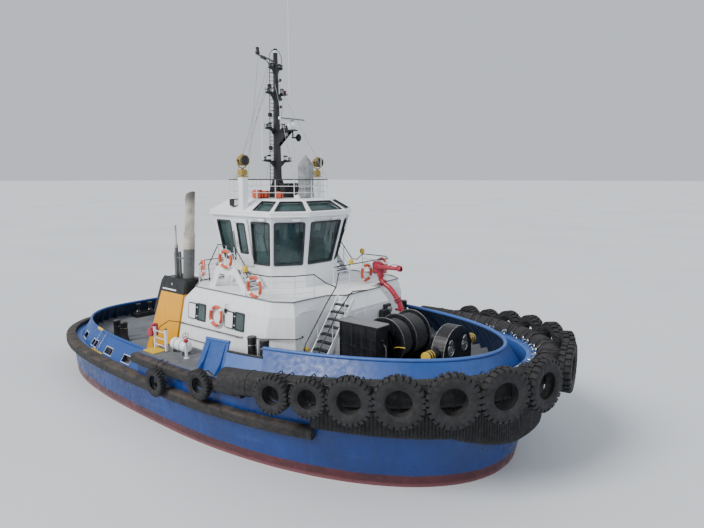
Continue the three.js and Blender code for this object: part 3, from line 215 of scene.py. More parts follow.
def hull_paint():
    """Blue topsides over a red boot-top, with a pale pink line where the water stands."""
    blue = (0.002, 0.030, 0.17)
    look = Look("hull_paint", 0.36)
    base = look.mix(look.noise(0.55, 6), shade(blue, 0.72), shade(blue, 1.15))
    base = look.over(base, look.noise(2.2, 7, (2.5, 2.5, 0.3), 0.5, 0.8), 0.4, (0.006, 0.022, 0.075))
    base = look.over(base, look.noise(1.8, 9, (0.25, 0.25, 3.0), 0.62, 0.68), 0.2, (0.05, 0.10, 0.22))
    red = look.mix(look.noise(1.4, 6), (0.048, 0.007, 0.011), (0.080, 0.012, 0.018))
    red = look.over(red, look.noise(4, 6, (1, 1, 4), 0.55, 0.7), 0.4, (0.14, 0.04, 0.05))
    height = look.place(2)
    wander = look.math("MULTIPLY", look.noise(1.2, 5), 0.025)
    line = look.math("ADD", height, wander)
    base = look.mix(look.between(line, 0.40, 0.415), red, base)
    base = look.over(base, look.between(line, 0.16, 0.08), 0.6, (0.22, 0.075, 0.085))
    seams = look.nodes.new("ShaderNodeTexWave")
    look.links.new(look.coordinates, seams.inputs["Vector"])
    seams.inputs["Scale"].default_value = 0.14
    swell = look.noise(0.8, 3, low=0.2, high=0.8)
    dents = look.math("ADD", swell, look.between(seams.outputs["Fac"], 0.0, 0.03, 0.0, 0.6))
    look.colour(base)
    look.roughness(look.between(look.noise(5, 5), 0, 1, 0.26, 0.5))
    look.bump(dents, 0.012)
    return look


def deck_paint(name, colour):
    """Non-slip deck paint with scuffs, damp patches and a few rust blooms."""
    look = Look(name, 0.75)
    base = look.mix(look.noise(0.7, 6), shade(colour, 0.75), shade(colour, 1.15))
    base = look.over(base, look.noise(2.6, 8, low=0.55, high=0.7), 0.6, shade(colour, 0.5))
    look.colour(look.over(base, look.noise(6, 6, low=0.66, high=0.74), 0.4, RUST))
    look.roughness(look.between(look.noise(1.6, 5), 0, 1, 0.5, 0.9))
    look.bump(look.noise(160, 2, low=0.3, high=0.7), 0.002)
    return look


def banded(name, colour, other, level, rough=0.4):
    """Paint of one colour up to a height, and another above it."""
    look = paint(name, colour, rough)
    base = look.shader.inputs["Base Color"].links[0].from_socket
    upper = look.mix(look.noise(2.0, 6), shade(other, 0.7), shade(other, 1.4))
    look.colour(look.mix(look.between(look.place(2), level - 0.004, level + 0.004), base, upper))
    return look


def exhaust_look():
    """Grey paint below, heat-tinted steel above, and soot round the outlet."""
    look = banded("exhaust_pipe", (0.12, 0.125, 0.125), (0.46, 0.41, 0.35), 6.35, 0.3)
    base = look.shader.inputs["Base Color"].links[0].from_socket
    look.colour(look.over(base, look.between(look.place(2), 7.95, 8.55), 0.75, (0.025, 0.025, 0.027)))
    return look


def glass_look():
    """Tinted window glass with a faint film, green-blue and partly see-through."""
    look = Look("window_glass", 0.06)
    tint = look.mix(look.noise(0.8, 3), (0.030, 0.060, 0.062), (0.060, 0.120, 0.118))
    look.colour(tint)
    look.shader.inputs["Alpha"].default_value = 0.55
    look.shader.inputs["IOR"].default_value = 1.5
    look.roughness(look.between(look.noise(3, 4), 0, 1, 0.03, 0.12))
    return look


LOOKS = {
    "hull": hull_paint(),
    "deck": deck_paint("deck_grey", (0.12, 0.13, 0.145)),
    "bulwark": paint("bulwark_blue", (0.004, 0.060, 0.27), 0.4, 0.2, 0.1),
    # A lighter copy of the bulwark blue: painted sky light on the up-facing ledges, the rims and the low
    # stretch of the fore bulwark.
    "bulwark_painted_light": paint("bulwark_painted_light", (0.040, 0.115, 0.37), 0.4, 0.15, 0.1),
    "bulwark_inside": paint("bulwark_inside", (0.018, 0.035, 0.085), 0.5, 0.35, 0.5),
    "fender": rubber("fender_rubber", (0.012, 0.011, 0.011), (0.075, 0.055, 0.042)),
    "bow_fender": rubber("bow_fender_rubber", (0.009, 0.009, 0.010), (0.030, 0.027, 0.025), 0.55, 30),
    "tyre": rubber("tyre_rubber", (0.008, 0.008, 0.009), (0.026, 0.024, 0.023), 0.6, 80),
    "white": paint("house_white", (0.84, 0.86, 0.88), 0.35, 0.12, 0.12, 0.04, 0.003),
    "rail_white": paint("rail_white", (0.72, 0.74, 0.76), 0.35, 0.2, 0.4, 0.05, 0.001),
    "black": paint("black_paint", (0.008, 0.009, 0.011), 0.4, 0.3, 0.1, 0.2, 0.002),
    "winch": paint("winch_black", (0.006, 0.007, 0.010), 0.36, 0.25, 0.15, 0.2, 0.002),
    "lid": paint("lid_grey", (0.20, 0.20, 0.21), 0.5, 0.4, 0.3),
    "funnel": banded("funnel_paint", (0.90, 0.41, 0.004), (0.008, 0.009, 0.011), 4.5),
    "exhaust": exhaust_look(),
    "bright": metal("bright_steel", (0.62, 0.63, 0.65), 0.25),
    "red": paint("fire_red", (0.36, 0.018, 0.040), 0.3, 0.25, 0.1, 0.12, 0.002),
    "orange": paint("lifebuoy_orange", (0.62, 0.095, 0.035), 0.5, 0.2, 0.0, 0.1, 0.002),
    "ochre": paint("lamp_ochre", (0.36, 0.24, 0.05), 0.45, 0.4, 0.4),
    "yellow": paint("safety_yellow", (0.72, 0.48, 0.03), 0.45, 0.35, 0.2),
    "grey": paint("console_grey", (0.16, 0.17, 0.18), 0.5, 0.1),
    "glass": glass_look(),
    "canvas": fabric("cover_canvas", (0.26, 0.27, 0.28)),
    "vinyl": fabric("chair_vinyl", (0.025, 0.025, 0.03), 300),
    "rope": fabric("rope_fibre", (0.014, 0.016, 0.022), 900),
    "bronze": metal("propeller_bronze", (0.55, 0.36, 0.13), 0.3),
    "bottom": paint("bottom_paint", (0.17, 0.03, 0.035), 0.55, 0.3, 0.1),
    "gasket": rubber("gasket", (0.02, 0.025, 0.028), (0.05, 0.05, 0.05), 0.4),
    "lens": metal("lamp_lens", (0.70, 0.72, 0.74), 0.12),
}


# Small helpers for directions and circles.
def lift(height):
    return Vector((0, 0, height))


def beside(direction):
    """The level direction at a right angle to another one."""
    return Vector((-direction.y, direction.x, 0))


def aim(axis):
    """The rotation that brings +Z onto an axis."""
    return UP.rotation_difference(Vector(axis)).to_matrix()


def around(count, start=0.0):
    """Angles evenly round a full turn."""
    return [math.tau * (k + start) / count for k in range(count)]


def circle(radius, count, height=0.0):
    return [Vector((radius * math.cos(a), radius * math.sin(a), height)) for a in around(count)]


def mirrored(points, sign):
    return [(x, sign * y, z) for x, y, z in points]


# Mesh building.
class Shape:
    """Collects vertices and faces for one piece. A face without a look of its own has the first one."""

    def __init__(self, *looks):
        self.looks = looks
        self.points = []
        self.faces = []
        self.slots = []
        self.soft = []
        self.matrix = Matrix.Identity(4)

    def add(self, points, faces, look=None, soft=True):
        base = len(self.points)
        number = self.looks.index(look) if look else 0
        self.points.extend(self.matrix @ Vector(point) for point in points)
        for face in faces:
            self.faces.append([base + i for i in face])
            self.slots.append(number)
            self.soft.append(soft)

    def skin(self, rings, look=None, soft=True, caps=True, closed=True):
        """A surface through rings of equal length. A closed one gets a face on each end."""
        count = len(rings[0])
        faces = []
        for r in range(len(rings) - 1):
            for i in range(count if closed else count - 1):
                j = (i + 1) % count
                faces.append((r * count + i, r * count + j, (r + 1) * count + j, (r + 1) * count + i))
        points = [point for ring in rings for point in ring]
        self.add(points, faces, look, soft)
        if caps and closed:
            self.add(rings[0], [list(range(count))[::-1]], look, False)
            self.add(rings[-1], [list(range(count))], look, False)

    def tube(self, points, radius, sides=8, look=None, closed=False):
        """A round bar along points. radius is one number, or one for each point."""
        line = [Vector(point) for point in points]
        count = len(line)
        radii = radius if isinstance(radius, (list, tuple)) else [radius] * count
        rings = []
        previous = None
        for i, point in enumerate(line):
            before = line[i - 1] if (i or closed) else point
            after = line[(i + 1) % count] if (i < count - 1 or closed) else point
            along = (after - before).normalized()
            if previous is None:
                side = along.orthogonal().normalized()
            else:
                side = (previous - along * previous.dot(along)).normalized()
            previous = side
            other = along.cross(side)
            rings.append([point + (side * math.cos(a) + other * math.sin(a)) * radii[i]
                          for a in around(sides)])
        if closed:
            rings.append(rings[0])
        self.skin(rings, look, True, not closed)

    def rod(self, start, end, radius, sides=10, look=None):
        self.tube([start, end], radius, sides, look)

    def block(self, low, high, look=None, edge=0.012):
        """A box with bevelled edges, between two opposite corners."""
        (x0, x1), (y0, y1), (z0, z1) = (sorted(pair) for pair in zip(low, high))
        e = min(edge, 0.3 * min(x1 - x0, y1 - y0, z1 - z0))

        def ring(z, inset):
            a, b, c, d = x0 + inset, x1 - inset, y0 + inset, y1 - inset
            return [
                (a + e, c, z), (b - e, c, z), (b, c + e, z), (b, d - e, z),
                (b - e, d, z), (a + e, d, z), (a, d - e, z), (a, c + e, z),
            ]

        self.skin([ring(z0, e), ring(z0 + e, 0), ring(z1 - e, 0), ring(z1, e)], look, False)

    def slab(self, ring, half, look=None):
        """A flat plate: an outline pushed out by half, a vector, to both sides."""
        line = [Vector(point) for point in ring]
        self.skin([[point - half for point in line], [point + half for point in line]], look, False)

    def turned(self, profile, at, axis=UP, sides=24, look=None, caps=True):
        """A profile of radius and height, turned about an axis through a point."""
        place = Matrix.Translation(Vector(at)) @ aim(axis).to_4x4()
        rings = [[place @ point for point in circle(max(r, 1e-4), sides, h)] for r, h in profile]
        self.skin(rings, look, True, caps)

    def ring(self, at, axis, radius, thickness, sides=40, look=None, cross=10):
        """A torus."""
        turn = aim(axis)
        self.tube([Vector(at) + turn @ point for point in circle(radius, sides)], thickness, cross, look,
                  True)

    def make(self, name, body="vessel", slot=None, angle=35.0):
        mesh = bpy.data.meshes.new(name)
        mesh.from_pydata([tuple(point) for point in self.points], [], self.faces)
        for look in self.looks:
            mesh.materials.append(LOOKS[look].material)
        mesh.polygons.foreach_set("material_index", self.slots)
        mesh.polygons.foreach_set("use_smooth", self.soft)
        mesh.update()
        mesh.set_sharp_from_angle(angle=math.radians(angle))
        piece = bpy.data.objects.new(name, mesh)
        scene.collection.objects.link(piece)
        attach(piece, body)
        return piece


class Outline:
    """One outline of the ship, as superellipse quarters, with a height that may depend on x.

    A turn is 0 at the bow, 90 abeam and 180 at the stern; a negative one is to starboard.
    """

    def __init__(self, breadth, stern, bow, full_aft, full_fore, z):
        self.breadth = breadth
        self.stern = stern
        self.bow = bow
        self.full_aft = full_aft
        self.full_fore = full_fore
        self.z = z if callable(z) else (lambda x: z)

    def at(self, turn):
        angle = math.radians(abs(turn))
        fore = abs(turn) <= 90
        power = 2 / (self.full_fore if fore else self.full_aft)
        x = (self.bow if fore else self.stern) * abs(math.cos(angle)) ** power
        y = self.breadth * max(abs(math.sin(angle)), 0.0001) ** power
        return Vector((x, math.copysign(y, turn), self.z(x)))

    def out(self, turn):
        """The level direction out of the outline."""
        step = 0.4
        along = self.at(turn + step) - self.at(turn - step) if abs(turn) > step else Vector((0, 1, 0))
        if abs(turn) > 180 - step:
            along = Vector((0, -1, 0))
        normal = Vector((along.y, -along.x, 0))
        return normal.normalized()

    def turn_at(self, x, side=-1):
        """The turn where this side has that x."""
        reach = self.bow if x > 0 else self.stern
        power = 2 / (self.full_fore if x > 0 else self.full_aft)
        angle = math.degrees(math.acos(min(1.0, abs(x / reach)) ** (1 / power)))
        return side * (angle if x > 0 else 180 - angle)


# The turns at which an outline's two halves meet, just short of the middle line.
STEM_TURN = 0.03
STERN_TURN = 179.995


def turns(start, end, count):
    return [start + (end - start) * i / count for i in range(count + 1)]


def sweep(shape, outline, profile, start, end, count, look=None):
    """A cross-section of (out, up) carried along an outline."""
    rings = []
    for turn in turns(start, end, count):
        centre = outline.at(turn)
        normal = outline.out(turn)
        rings.append([centre + normal * out + lift(up) for out, up in profile])
    shape.skin(rings, look)


# Hull: half-breadth, stern, bow and fullness at each height.
HULL_ROWS = [
    (-2.85, 2.10, -5.40, 7.00, 2.6, 2.0),
    (-2.50, 3.90, -6.90, 8.50, 2.8, 2.0),
    (-1.60, 5.00, -9.20, 9.90, 2.9, 2.05),
    (-0.70, 5.35, -11.00, 10.70, 3.0, 2.1),
    (0.00, 5.46, -11.90, 11.15, 3.0, 2.15),
    (MAIN_DECK, 5.60, -12.00, 11.50, 3.0, 2.2),
]
RAISED_ROWS = [
    (MAIN_DECK - 0.4, 5.585, -11.90, 11.40, 3.0, 2.2),
    (RAISED_DECK, 5.60, -12.00, 11.70, 3.0, 2.25),
]


def rows_between(rows, parts):
    result = []
    for low, high in zip(rows, rows[1:]):
        result.extend(
            tuple(a + (b - a) * k / parts for a, b in zip(low, high)) for k in range(parts)
        )
    return result + [rows[-1]]


def hull_ring(row, count=150, limit=None):
    z, breadth, stern, bow, full_aft, full_fore = row
    outline = Outline(breadth, stern, bow, full_aft, full_fore, z)
    end = 180.0 if limit is None else abs(outline.turn_at(limit))
    port = [outline.at(turn) for turn in turns(0.001, end - 0.001, count)]
    return port + [Vector((p.x, -p.y, p.z)) for p in reversed(port)]


hull = Shape("hull")
hull.skin([hull_ring(row) for row in rows_between(HULL_ROWS, 3)], "hull")
hull.skin([hull_ring(row, 100, RAISED_START) for row in RAISED_ROWS], "hull")
# The trunks that the thrusters hang from, up to well inside the hull.
TRUNK_X, TRUNK_Y, TRUNK_RADIUS, TRUNK_FOOT, TRUNK_TOP = -8.5, 2.35, 0.62, -2.25, -0.5
for side in (-1, 1):
    hull.rod((TRUNK_X, side * TRUNK_Y, TRUNK_FOOT), (TRUNK_X, side * TRUNK_Y, TRUNK_TOP), TRUNK_RADIUS, 40,
             "hull")
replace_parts(hull.make("hull_shell", slot="hull_paint"), "hull")

# Deck coverings lie on the main deck and on the raised deck.
decks = Shape("deck")


def deck_sheet(row, z, limit_aft, limit_fore, inset):
    outline = Outline(row[1] - inset, row[2] + inset, row[3] - inset, row[4], row[5], z)
    start = abs(outline.turn_at(limit_fore)) if limit_fore else 0.001
    end = abs(outline.turn_at(limit_aft)) if limit_aft else 179.999
    port = [outline.at(turn) for turn in turns(start, end, 90)]
    ring = port + [Vector((p.x, -p.y, p.z)) for p in reversed(port)]
    decks.skin([ring, [p + lift(0.006) for p in ring]], "deck", False)


deck_sheet(HULL_ROWS[-1], MAIN_DECK, None, RAISED_START - 0.02, 0.05)
deck_sheet(RAISED_ROWS[-1], RAISED_DECK, RAISED_START + 0.02, None, 0.05)
decks.make("deck_covering", slot="console_grey")


# Rubber fenders.
def half_round(half, depth, steps=14):
    profile = []
    for k in range(steps + 1):
        level = -1 + 2 * k / steps
        profile.append((-0.11 * abs(level) ** 5, level * half))
    return profile + [(-depth, half), (-depth, -half)]


LOWER = Outline(5.90, -12.20, 11.75, 3.0, 2.2, 1.60)
UPPER = Outline(5.85, -12.20, 11.90, 3.0, 2.2, 2.45)
LOW_BOW = Outline(5.90, -12.20, 11.98, 3.0, 2.2, 2.18)
BOW = Outline(6.01, -12.0, 12.11, 3.0, 2.2, lambda x: 2.64 + 0.0635 * x)
BOW_RADIUS = 0.40
LOWER_FORE, UPPER_FORE, BOW_AFT = 7.144, 4.62, 4.2

lower = Shape("fender")
for side in (-1, 1):
    sweep(lower, LOWER, half_round(0.20, 0.42), LOWER.turn_at(LOWER_FORE, side), side * STERN_TURN, 220)
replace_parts(lower.make("lower_fender_rubber", slot="fender_rubber"), "lower_fender")
for side, name in SIDES:
    upper = Shape("fender")
    sweep(upper, UPPER, half_round(0.19, 0.36), UPPER.turn_at(UPPER_FORE, side),
          UPPER.turn_at(RAISED_START, side), 60)
    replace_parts(upper.make(f"upper_fender_{name}_rubber", slot="fender_rubber"), f"upper_fender_{name}")
# The low bow fender's lower edge falls towards the stem, and its upper edge follows the sheer.
LOW_BOW_AFT = 7.16
FOOT_Z, FOOT_FALL, FALL_START, FALL_LENGTH = 1.795, 0.46, 10.8, 1.1
TOP_Z, TOP_SHEER = 2.63, 0.06
GROOVE = 0.035
low_bow = Shape("bow_fender")
for side in (-1, 1):
    rings = []
    for k, turn in enumerate(turns(LOW_BOW.turn_at(LOW_BOW_AFT, side), side * STEM_TURN, 210)):
        seat, normal = LOW_BOW.at(turn), LOW_BOW.out(turn)
        foot = FOOT_Z - FOOT_FALL * min(1.0, max(0.0, (seat.x - FALL_START) / FALL_LENGTH))
        top = TOP_Z + TOP_SHEER * (seat.x - LOW_BOW_AFT)
        groove = GROOVE if k % 3 == 1 else 0.0
        half = [(-0.42, 0.0), (-0.11 - groove, 0.01), (-0.02 - groove, 0.10), (-groove, 0.3)]
        profile = [(out, foot + z) for out, z in half] + [(out, top - z) for out, z in reversed(half)]
        rings.append([Vector((seat.x, seat.y, z)) + normal * out for out, z in profile])
    low_bow.skin(rings, "bow_fender", False)
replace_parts(low_bow.make("low_bow_fender_rubber", slot="fender_rubber"), "low_bow_fender")

bow = Shape("bow_fender", "rope")
BOW_END = abs(BOW.turn_at(BOW_AFT))
bow_path = [BOW.at(turn) for turn in turns(-BOW_END, BOW_END, 200)]
bow.tube(bow_path, BOW_RADIUS, 28, "bow_fender")
JOINTS = 26
for k in range(1, JOINTS):
    turn = -BOW_END + 2 * BOW_END * k / JOINTS
    heading = beside(BOW.out(turn))
    bow.ring(BOW.at(turn), heading, BOW_RADIUS + 0.004, 0.016 if k % 2 else 0.026, 32,
             "rope" if k % 5 == 2 else "bow_fender", 6)
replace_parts(bow.make("bow_fender_rubber", slot="fender_rubber"), "bow_fender")


# Bulwarks: a leaning plate between two outlines, with a round rail on top.
PLATE = 0.07


def wall(shape, foot, top, low, high, start, end, count, looks):
    """Part of the plate, from one share of its height to another. looks are for its outer and inner faces."""
    outer_low, outer_high, inner_high, inner_low = [], [], [], []
    for turn in turns(start, end, count):
        base, rim, normal = foot.at(turn), top.at(turn), foot.out(turn)
        outer_low.append(base.lerp(rim, low))
        outer_high.append(base.lerp(rim, high))
        inner_high.append(outer_high[-1] - normal * PLATE)
        inner_low.append(outer_low[-1] - normal * PLATE)
    for pair, look in (((outer_low, outer_high), looks[0]), ((inner_high, inner_low), looks[1])):
        shape.skin(list(pair), look, True, False, False)
    for pair in ((outer_high, inner_high), (inner_low, outer_low)):
        shape.skin(list(pair), looks[0], False, False, False)
    for i in (0, -1):
        shape.add([outer_low[i], outer_high[i], inner_high[i], inner_low[i]], [(0, 1, 2, 3)], looks[0], False)


def rim_points(foot, top, share, start, end, count, rise=0.03):
    return [
        foot.at(turn).lerp(top.at(turn), share) - foot.out(turn) * PLATE / 2 + lift(rise)
        for turn in turns(start, end, count)
    ]


def stay(shape, foot, top, turn, share, depth, look, outside=False):
    """A triangular bracket between the plate and the deck."""
    normal = foot.out(turn) * (1 if outside else -1)
    along = beside(normal) * 0.014
    start = foot.at(turn) if outside else foot.at(turn) - foot.out(turn) * PLATE
    tip = foot.at(turn).lerp(top.at(turn), share) + (Vector() if outside else normal * PLATE)
    outer = start + normal * depth
    knee = outer.lerp(tip, 0.35) - normal * 0.05
    shape.slab([start, outer, outer + lift(0.06), knee, tip + normal * 0.03, tip], along, look)


AFT_FOOT = Outline(5.25, -11.50, 9.0, 3.0, 2.2, MAIN_DECK)
AFT_TOP = Outline(4.70, -11.05, 9.0, 3.2, 2.2, 2.30)
FREEING_PORTS = (-3.6, -5.3, -7.0, -8.7)
PORT_LENGTH = 0.7
PORT_SHARES = (0.115, 0.49)
AFT_LOOKS = ("bulwark", "bulwark_inside")
aft = Shape("bulwark", "bulwark_inside", "rail_white")
for side in (-1, 1):
    edge = AFT_FOOT.turn_at(RAISED_START, side)
    stern_turn = side * STERN_TURN
    wall(aft, AFT_FOOT, AFT_TOP, 0.0, PORT_SHARES[0], edge, stern_turn, 120, AFT_LOOKS)
    wall(aft, AFT_FOOT, AFT_TOP, PORT_SHARES[1], 1.0, edge, stern_turn, 120, AFT_LOOKS)
    cuts = [RAISED_START]
    for x in FREEING_PORTS:
        cuts += [x + PORT_LENGTH, x]
    edges = [AFT_FOOT.turn_at(x, side) for x in cuts] + [stern_turn]
    for first, last in zip(edges[::2], edges[1::2]):
        wall(aft, AFT_FOOT, AFT_TOP, *PORT_SHARES, first, last, 24, AFT_LOOKS)
    for x in FREEING_PORTS:
        ring = []
        first, last = AFT_FOOT.turn_at(x + PORT_LENGTH, side), AFT_FOOT.turn_at(x, side)
        for turn, share in zip((first, last, last, first), sorted(PORT_SHARES * 2)):
            ring.append(AFT_FOOT.at(turn).lerp(AFT_TOP.at(turn), share) + AFT_FOOT.out(turn) * 0.005)
        aft.tube(ring, 0.018, 6, "rail_white", True)
    for k in range(16):
        stay(aft, AFT_FOOT, AFT_TOP, edge + (stern_turn - edge) * (k + 0.5) / 16, 0.95, 0.34,
             "bulwark_inside")
    aft.tube(rim_points(AFT_FOOT, AFT_TOP, 1.0, edge, stern_turn, 120), 0.062, 12, "bulwark")
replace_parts(aft.make("aft_bulwark_plate", slot="bulwark_paint"), "aft_bulwark")

FORE_FOOT = Outline(5.30, -9.0, 11.5, 3.6, 2.2, RAISED_DECK)
FORE_TOP = Outline(4.60, -9.0, 10.8, 3.6, 2.05, lambda x: 3.44 + 0.029 * x)
FORE_AFT, LOW_AFT, LOW_FORE, LOW_SHARE = 1.93, 3.25, 4.90, 0.72
fore = Shape("bulwark", "bulwark_inside", "bulwark_painted_light", "bright", "black")
for side in (-1, 1):
    aft_turn, low_aft, low_fore = (FORE_FOOT.turn_at(x, side) for x in (FORE_AFT, LOW_AFT, LOW_FORE))
    bow_turn = side * STEM_TURN
    wall(fore, FORE_FOOT, FORE_TOP, 0, 1, aft_turn, low_aft, 12, ("bulwark", "bulwark_inside"))
    # The low stretch and the rims take the lighter blue, which is painted sky light.
    wall(fore, FORE_FOOT, FORE_TOP, 0, LOW_SHARE, low_aft, low_fore, 16, ("bulwark_painted_light", "bulwark_inside"))
    wall(fore, FORE_FOOT, FORE_TOP, 0, 1, low_fore, bow_turn, 110, ("bulwark", "bulwark_inside"))
    fore.tube(rim_points(FORE_FOOT, FORE_TOP, 1, aft_turn, low_aft, 12), 0.06, 12, "bulwark_painted_light")
    fore.tube(rim_points(FORE_FOOT, FORE_TOP, LOW_SHARE, low_aft, low_fore, 16), 0.045, 10, "black")
    fore.tube(rim_points(FORE_FOOT, FORE_TOP, 1, low_fore, bow_turn, 110), 0.065, 12, "bulwark_painted_light")
    for k in range(18):
        stay(fore, FORE_FOOT, FORE_TOP, low_fore + (bow_turn - low_fore) * (k + 0.5) / 18, 0.92, 0.42,
             "bulwark_inside")
    for x in (2.25, 3.1):
        stay(fore, FORE_FOOT, FORE_TOP, FORE_FOOT.turn_at(x, side), 0.95, 0.22, "bulwark", True)

# The ledge outside the bulwark, which backs the round fender, in the lighter blue that is painted sky light.
LEDGE_RISE = 0.06
LEDGE = Outline(5.70, -9.0, 11.8, 3.8, 2.2, lambda x: 2.64 + 0.0635 * x + LEDGE_RISE)
for side in (-1, 1):
    rings = []
    for turn in turns(LEDGE.turn_at(4.95, side), side * STEM_TURN, 100):
        tip = LEDGE.at(turn)
        normal = LEDGE.out(turn)
        root = tip - normal * 0.42
        foot = Vector((root.x, root.y, RAISED_DECK))
        edge = Vector((tip.x, tip.y, RAISED_DECK))
        rings.append([foot, edge - normal * 0.1, tip - normal * 0.02, tip - normal * 0.05 + lift(0.012),
                      root])
    fore.skin(rings, "bulwark_painted_light", True, True)
    for k in range(11):
        turn = LEDGE.turn_at(5.6, side) * (1 - k / 10.5)
        seat = LEDGE.at(turn) - LEDGE.out(turn) * 0.17
        fore.ring(seat + lift(0.07), LEDGE.out(turn).cross(UP), 0.07, 0.022, 18, "bright", 8)
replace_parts(fore.make("fore_bulwark_plate", slot="bulwark_paint"), "fore_bulwark")


# Tyres, with a tread, a bead and sidewalls.
def tyre(shape, at, axis, radius, bore, width):
    half = width / 2
    profile = [
        (bore + 0.02, -half * 0.55), (bore, -half * 0.75), (bore + 0.05, -half * 0.9),
        (radius * 0.64, -half * 0.97),
        (radius * 0.66, -half), (radius * 0.78, -half), (radius * 0.84, -half * 0.96),
        (radius * 0.91, -half * 0.72),
        (radius * 0.93, -half * 0.35), (radius * 0.93, half * 0.35), (radius * 0.91, half * 0.72),
        (radius * 0.84, half * 0.96), (radius * 0.78, half), (radius * 0.66, half),
        (radius * 0.64, half * 0.97),
        (bore + 0.05, half * 0.9), (bore, half * 0.75), (bore + 0.02, half * 0.55), (bore + 0.06, 0.0),
        (bore + 0.02, -half * 0.55),
    ]
    shape.turned(profile, at, axis, 48, "tyre", caps=False)
    # Lugs: each a strip across half of the tread, given by its share of the half width and of the radius.
    place = Matrix.Translation(Vector(at)) @ aim(axis).to_4x4()
    lugs = 24
    section = ((0.97, 0.83), (0.96, 0.945), (0.76, 0.998), (0.07, 0.998), (0.05, 0.92))
    sides = [(0, 1, 3, 2), (2, 3, 5, 4), (4, 5, 7, 6), (6, 7, 9, 8), (0, 2, 4, 6, 8), (9, 7, 5, 3, 1)]
    for k in range(lugs):
        for hand, shift in ((-1, 0.0), (1, 0.5)):
            points = []
            for h, out in section:
                lean = 0.16 * (1 - h)
                for share in (0.16, 0.80):
                    a = math.tau * (k + share + shift + lean) / lugs
                    spot = Vector((math.cos(a), math.sin(a), 0)) * radius * out + lift(hand * h * half)
                    points.append(place @ spot)
            shape.add(points, sides, "tyre", False)


for side, name in SIDES:
    for k, (x, z, outline) in enumerate(((0.5, 2.0, LOWER), (2.9, 2.45, UPPER))):
        shape = Shape("tyre", "black")
        turn = outline.turn_at(x, side)
        seat = outline.at(turn)
        normal = outline.out(turn)
        centre = Vector((seat.x, seat.y, z)) + normal * 0.105
        tyre(shape, centre, normal, 0.518, 0.26, 0.25)
        for shift in (-0.16, 0.16):
            along = beside(normal) * shift
            top = Vector((centre.x, centre.y, z + 0.44)) + along - normal * 0.06
            hook = Vector((seat.x, seat.y, RAISED_DECK + 0.05)) - normal * 0.35 + along
            shape.tube([top, top.lerp(hook, 0.5) + lift(0.1), hook], 0.018, 6, "black")
        piece = shape.make(f"side_tyre_{name}_{k + 1}_rubber", slot="tyre_rubber")
        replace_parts(piece, f"side_tyre_{name}_{k + 1}")

# The bow's row of tyres: angle round the bow from abeam, and radius.
BOW_TYRES = ((0.521, 0.58), (0.631, 0.58), (0.753, 0.70), (0.899, 0.75), (1.069, 0.78), (1.253, 0.79),
             (1.45, 0.80))
row = Shape("tyre", "black", "bright")
tops = []
for side in (-1, 1):
    line = []
    for angle, radius in BOW_TYRES:
        turn = side * (90 - math.degrees(angle))
        seat = BOW.at(turn)
        normal = BOW.out(turn)
        centre = seat + normal * (BOW_RADIUS + 0.198)
        tyre(row, centre, normal, radius, radius * 0.5, 0.40)
        line.append(centre + lift(radius * 0.55) - normal * 0.1)
        along = beside(normal)
        for shift in (-0.13, 0.13):
            top = centre + along * shift + lift(radius * 0.52)
            over = seat + along * shift * 1.4 + lift(BOW_RADIUS + 0.03)
            hook = seat + along * shift * 1.6 - normal * 0.42 + lift(0.16)
            row.tube([top, top + normal * -0.2 + lift(0.06), over, over - normal * 0.2, hook], 0.017, 6,
                     "black")
            row.turned([(0.075, -0.02), (0.085, 0.0), (0.06, 0.03)], hook, normal, 18, "bright")
    tops.append(line)
for line in tops:
    row.tube(line, 0.022, 6, "black")
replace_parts(row.make("bow_tyre_row", slot="tyre_rubber"), "bow_tyres")


def dress(name, look, edge=0.012):
    """A CAD node that stays gets its finish, and a small round on its edges."""
    node = nodes[name]
    node.data.materials.clear()
    node.data.materials.append(LOOKS[look].material)
    if edge:
        bevel = node.modifiers.new("edges", "BEVEL")
        bevel.width = edge
        bevel.segments = 2
        bevel.limit_method = "ANGLE"
        bevel.angle_limit = math.radians(30)


# The nodes that stay, by look.
KEPT = {
    "white": (
        "deckhouse", "wheelhouse_walls", "wheelhouse_roof", "wheelhouse_door_starboard",
        "wheelhouse_door_port",
        "deckhouse_door", "landing_starboard", "landing_port", "foredeck_stair",
    ),
    "winch": ("winch_frame", "winch_housing", "towing_staple"),
    "funnel": ("funnel_starboard", "funnel_port"),
    "exhaust": ("exhaust_starboard", "exhaust_port"),
    "bottom": ("skeg", "thruster_starboard", "thruster_port"),
    "bronze": ("propeller_starboard", "propeller_port"),
    "grey": ("helm_console",),
}
for look_name, node_names in KEPT.items():
    for node_name in node_names:
        dress(node_name, look_name)
for node_name in ("wheelhouse_glass_fore", "wheelhouse_glass_aft", "roof_glass"):
    dress(node_name, "glass", 0)


# Sloping panels: the sides between a low ring and a high ring, numbered from the port front corner.
def both_sides(half, z):
    return [Vector((x, y, z)) for x, y in half] + [Vector((x, -y, z)) for x, y in reversed(half)]


class Panels:
    def __init__(self, low, high):
        self.low = low
        self.high = high

    def at(self, side, u, v, out=0.0):
        other = (side + 1) % len(self.low)
        low = self.low[side].lerp(self.low[other], u)
        high = self.high[side].lerp(self.high[other], u)
        return low.lerp(high, v) + self.out(side) * out

    def out(self, side):
        other = (side + 1) % len(self.low)
        return (self.low[other] - self.low[side]).cross(self.high[side] - self.low[side]).normalized()

    def quad(self, side, u0, u1, v0, v1):
        return [self.at(side, u0, v0), self.at(side, u1, v0), self.at(side, u1, v1), self.at(side, u0, v1)]


def rounded(corners, inset, radius, steps=5):
    """A ring with round corners, inset from a flat polygon."""
    ring = []
    count = len(corners)
    for i, corner in enumerate(corners):
        before = (corners[i - 1] - corner).normalized()
        after = (corners[(i + 1) % count] - corner).normalized()
        tip = corner + (before + after) * (inset / before.cross(after).length)
        for k in range(steps + 1):
            t = k / steps
            ring.append(tip + before * radius * (1 - t) ** 2 + after * radius * t ** 2)
    return ring


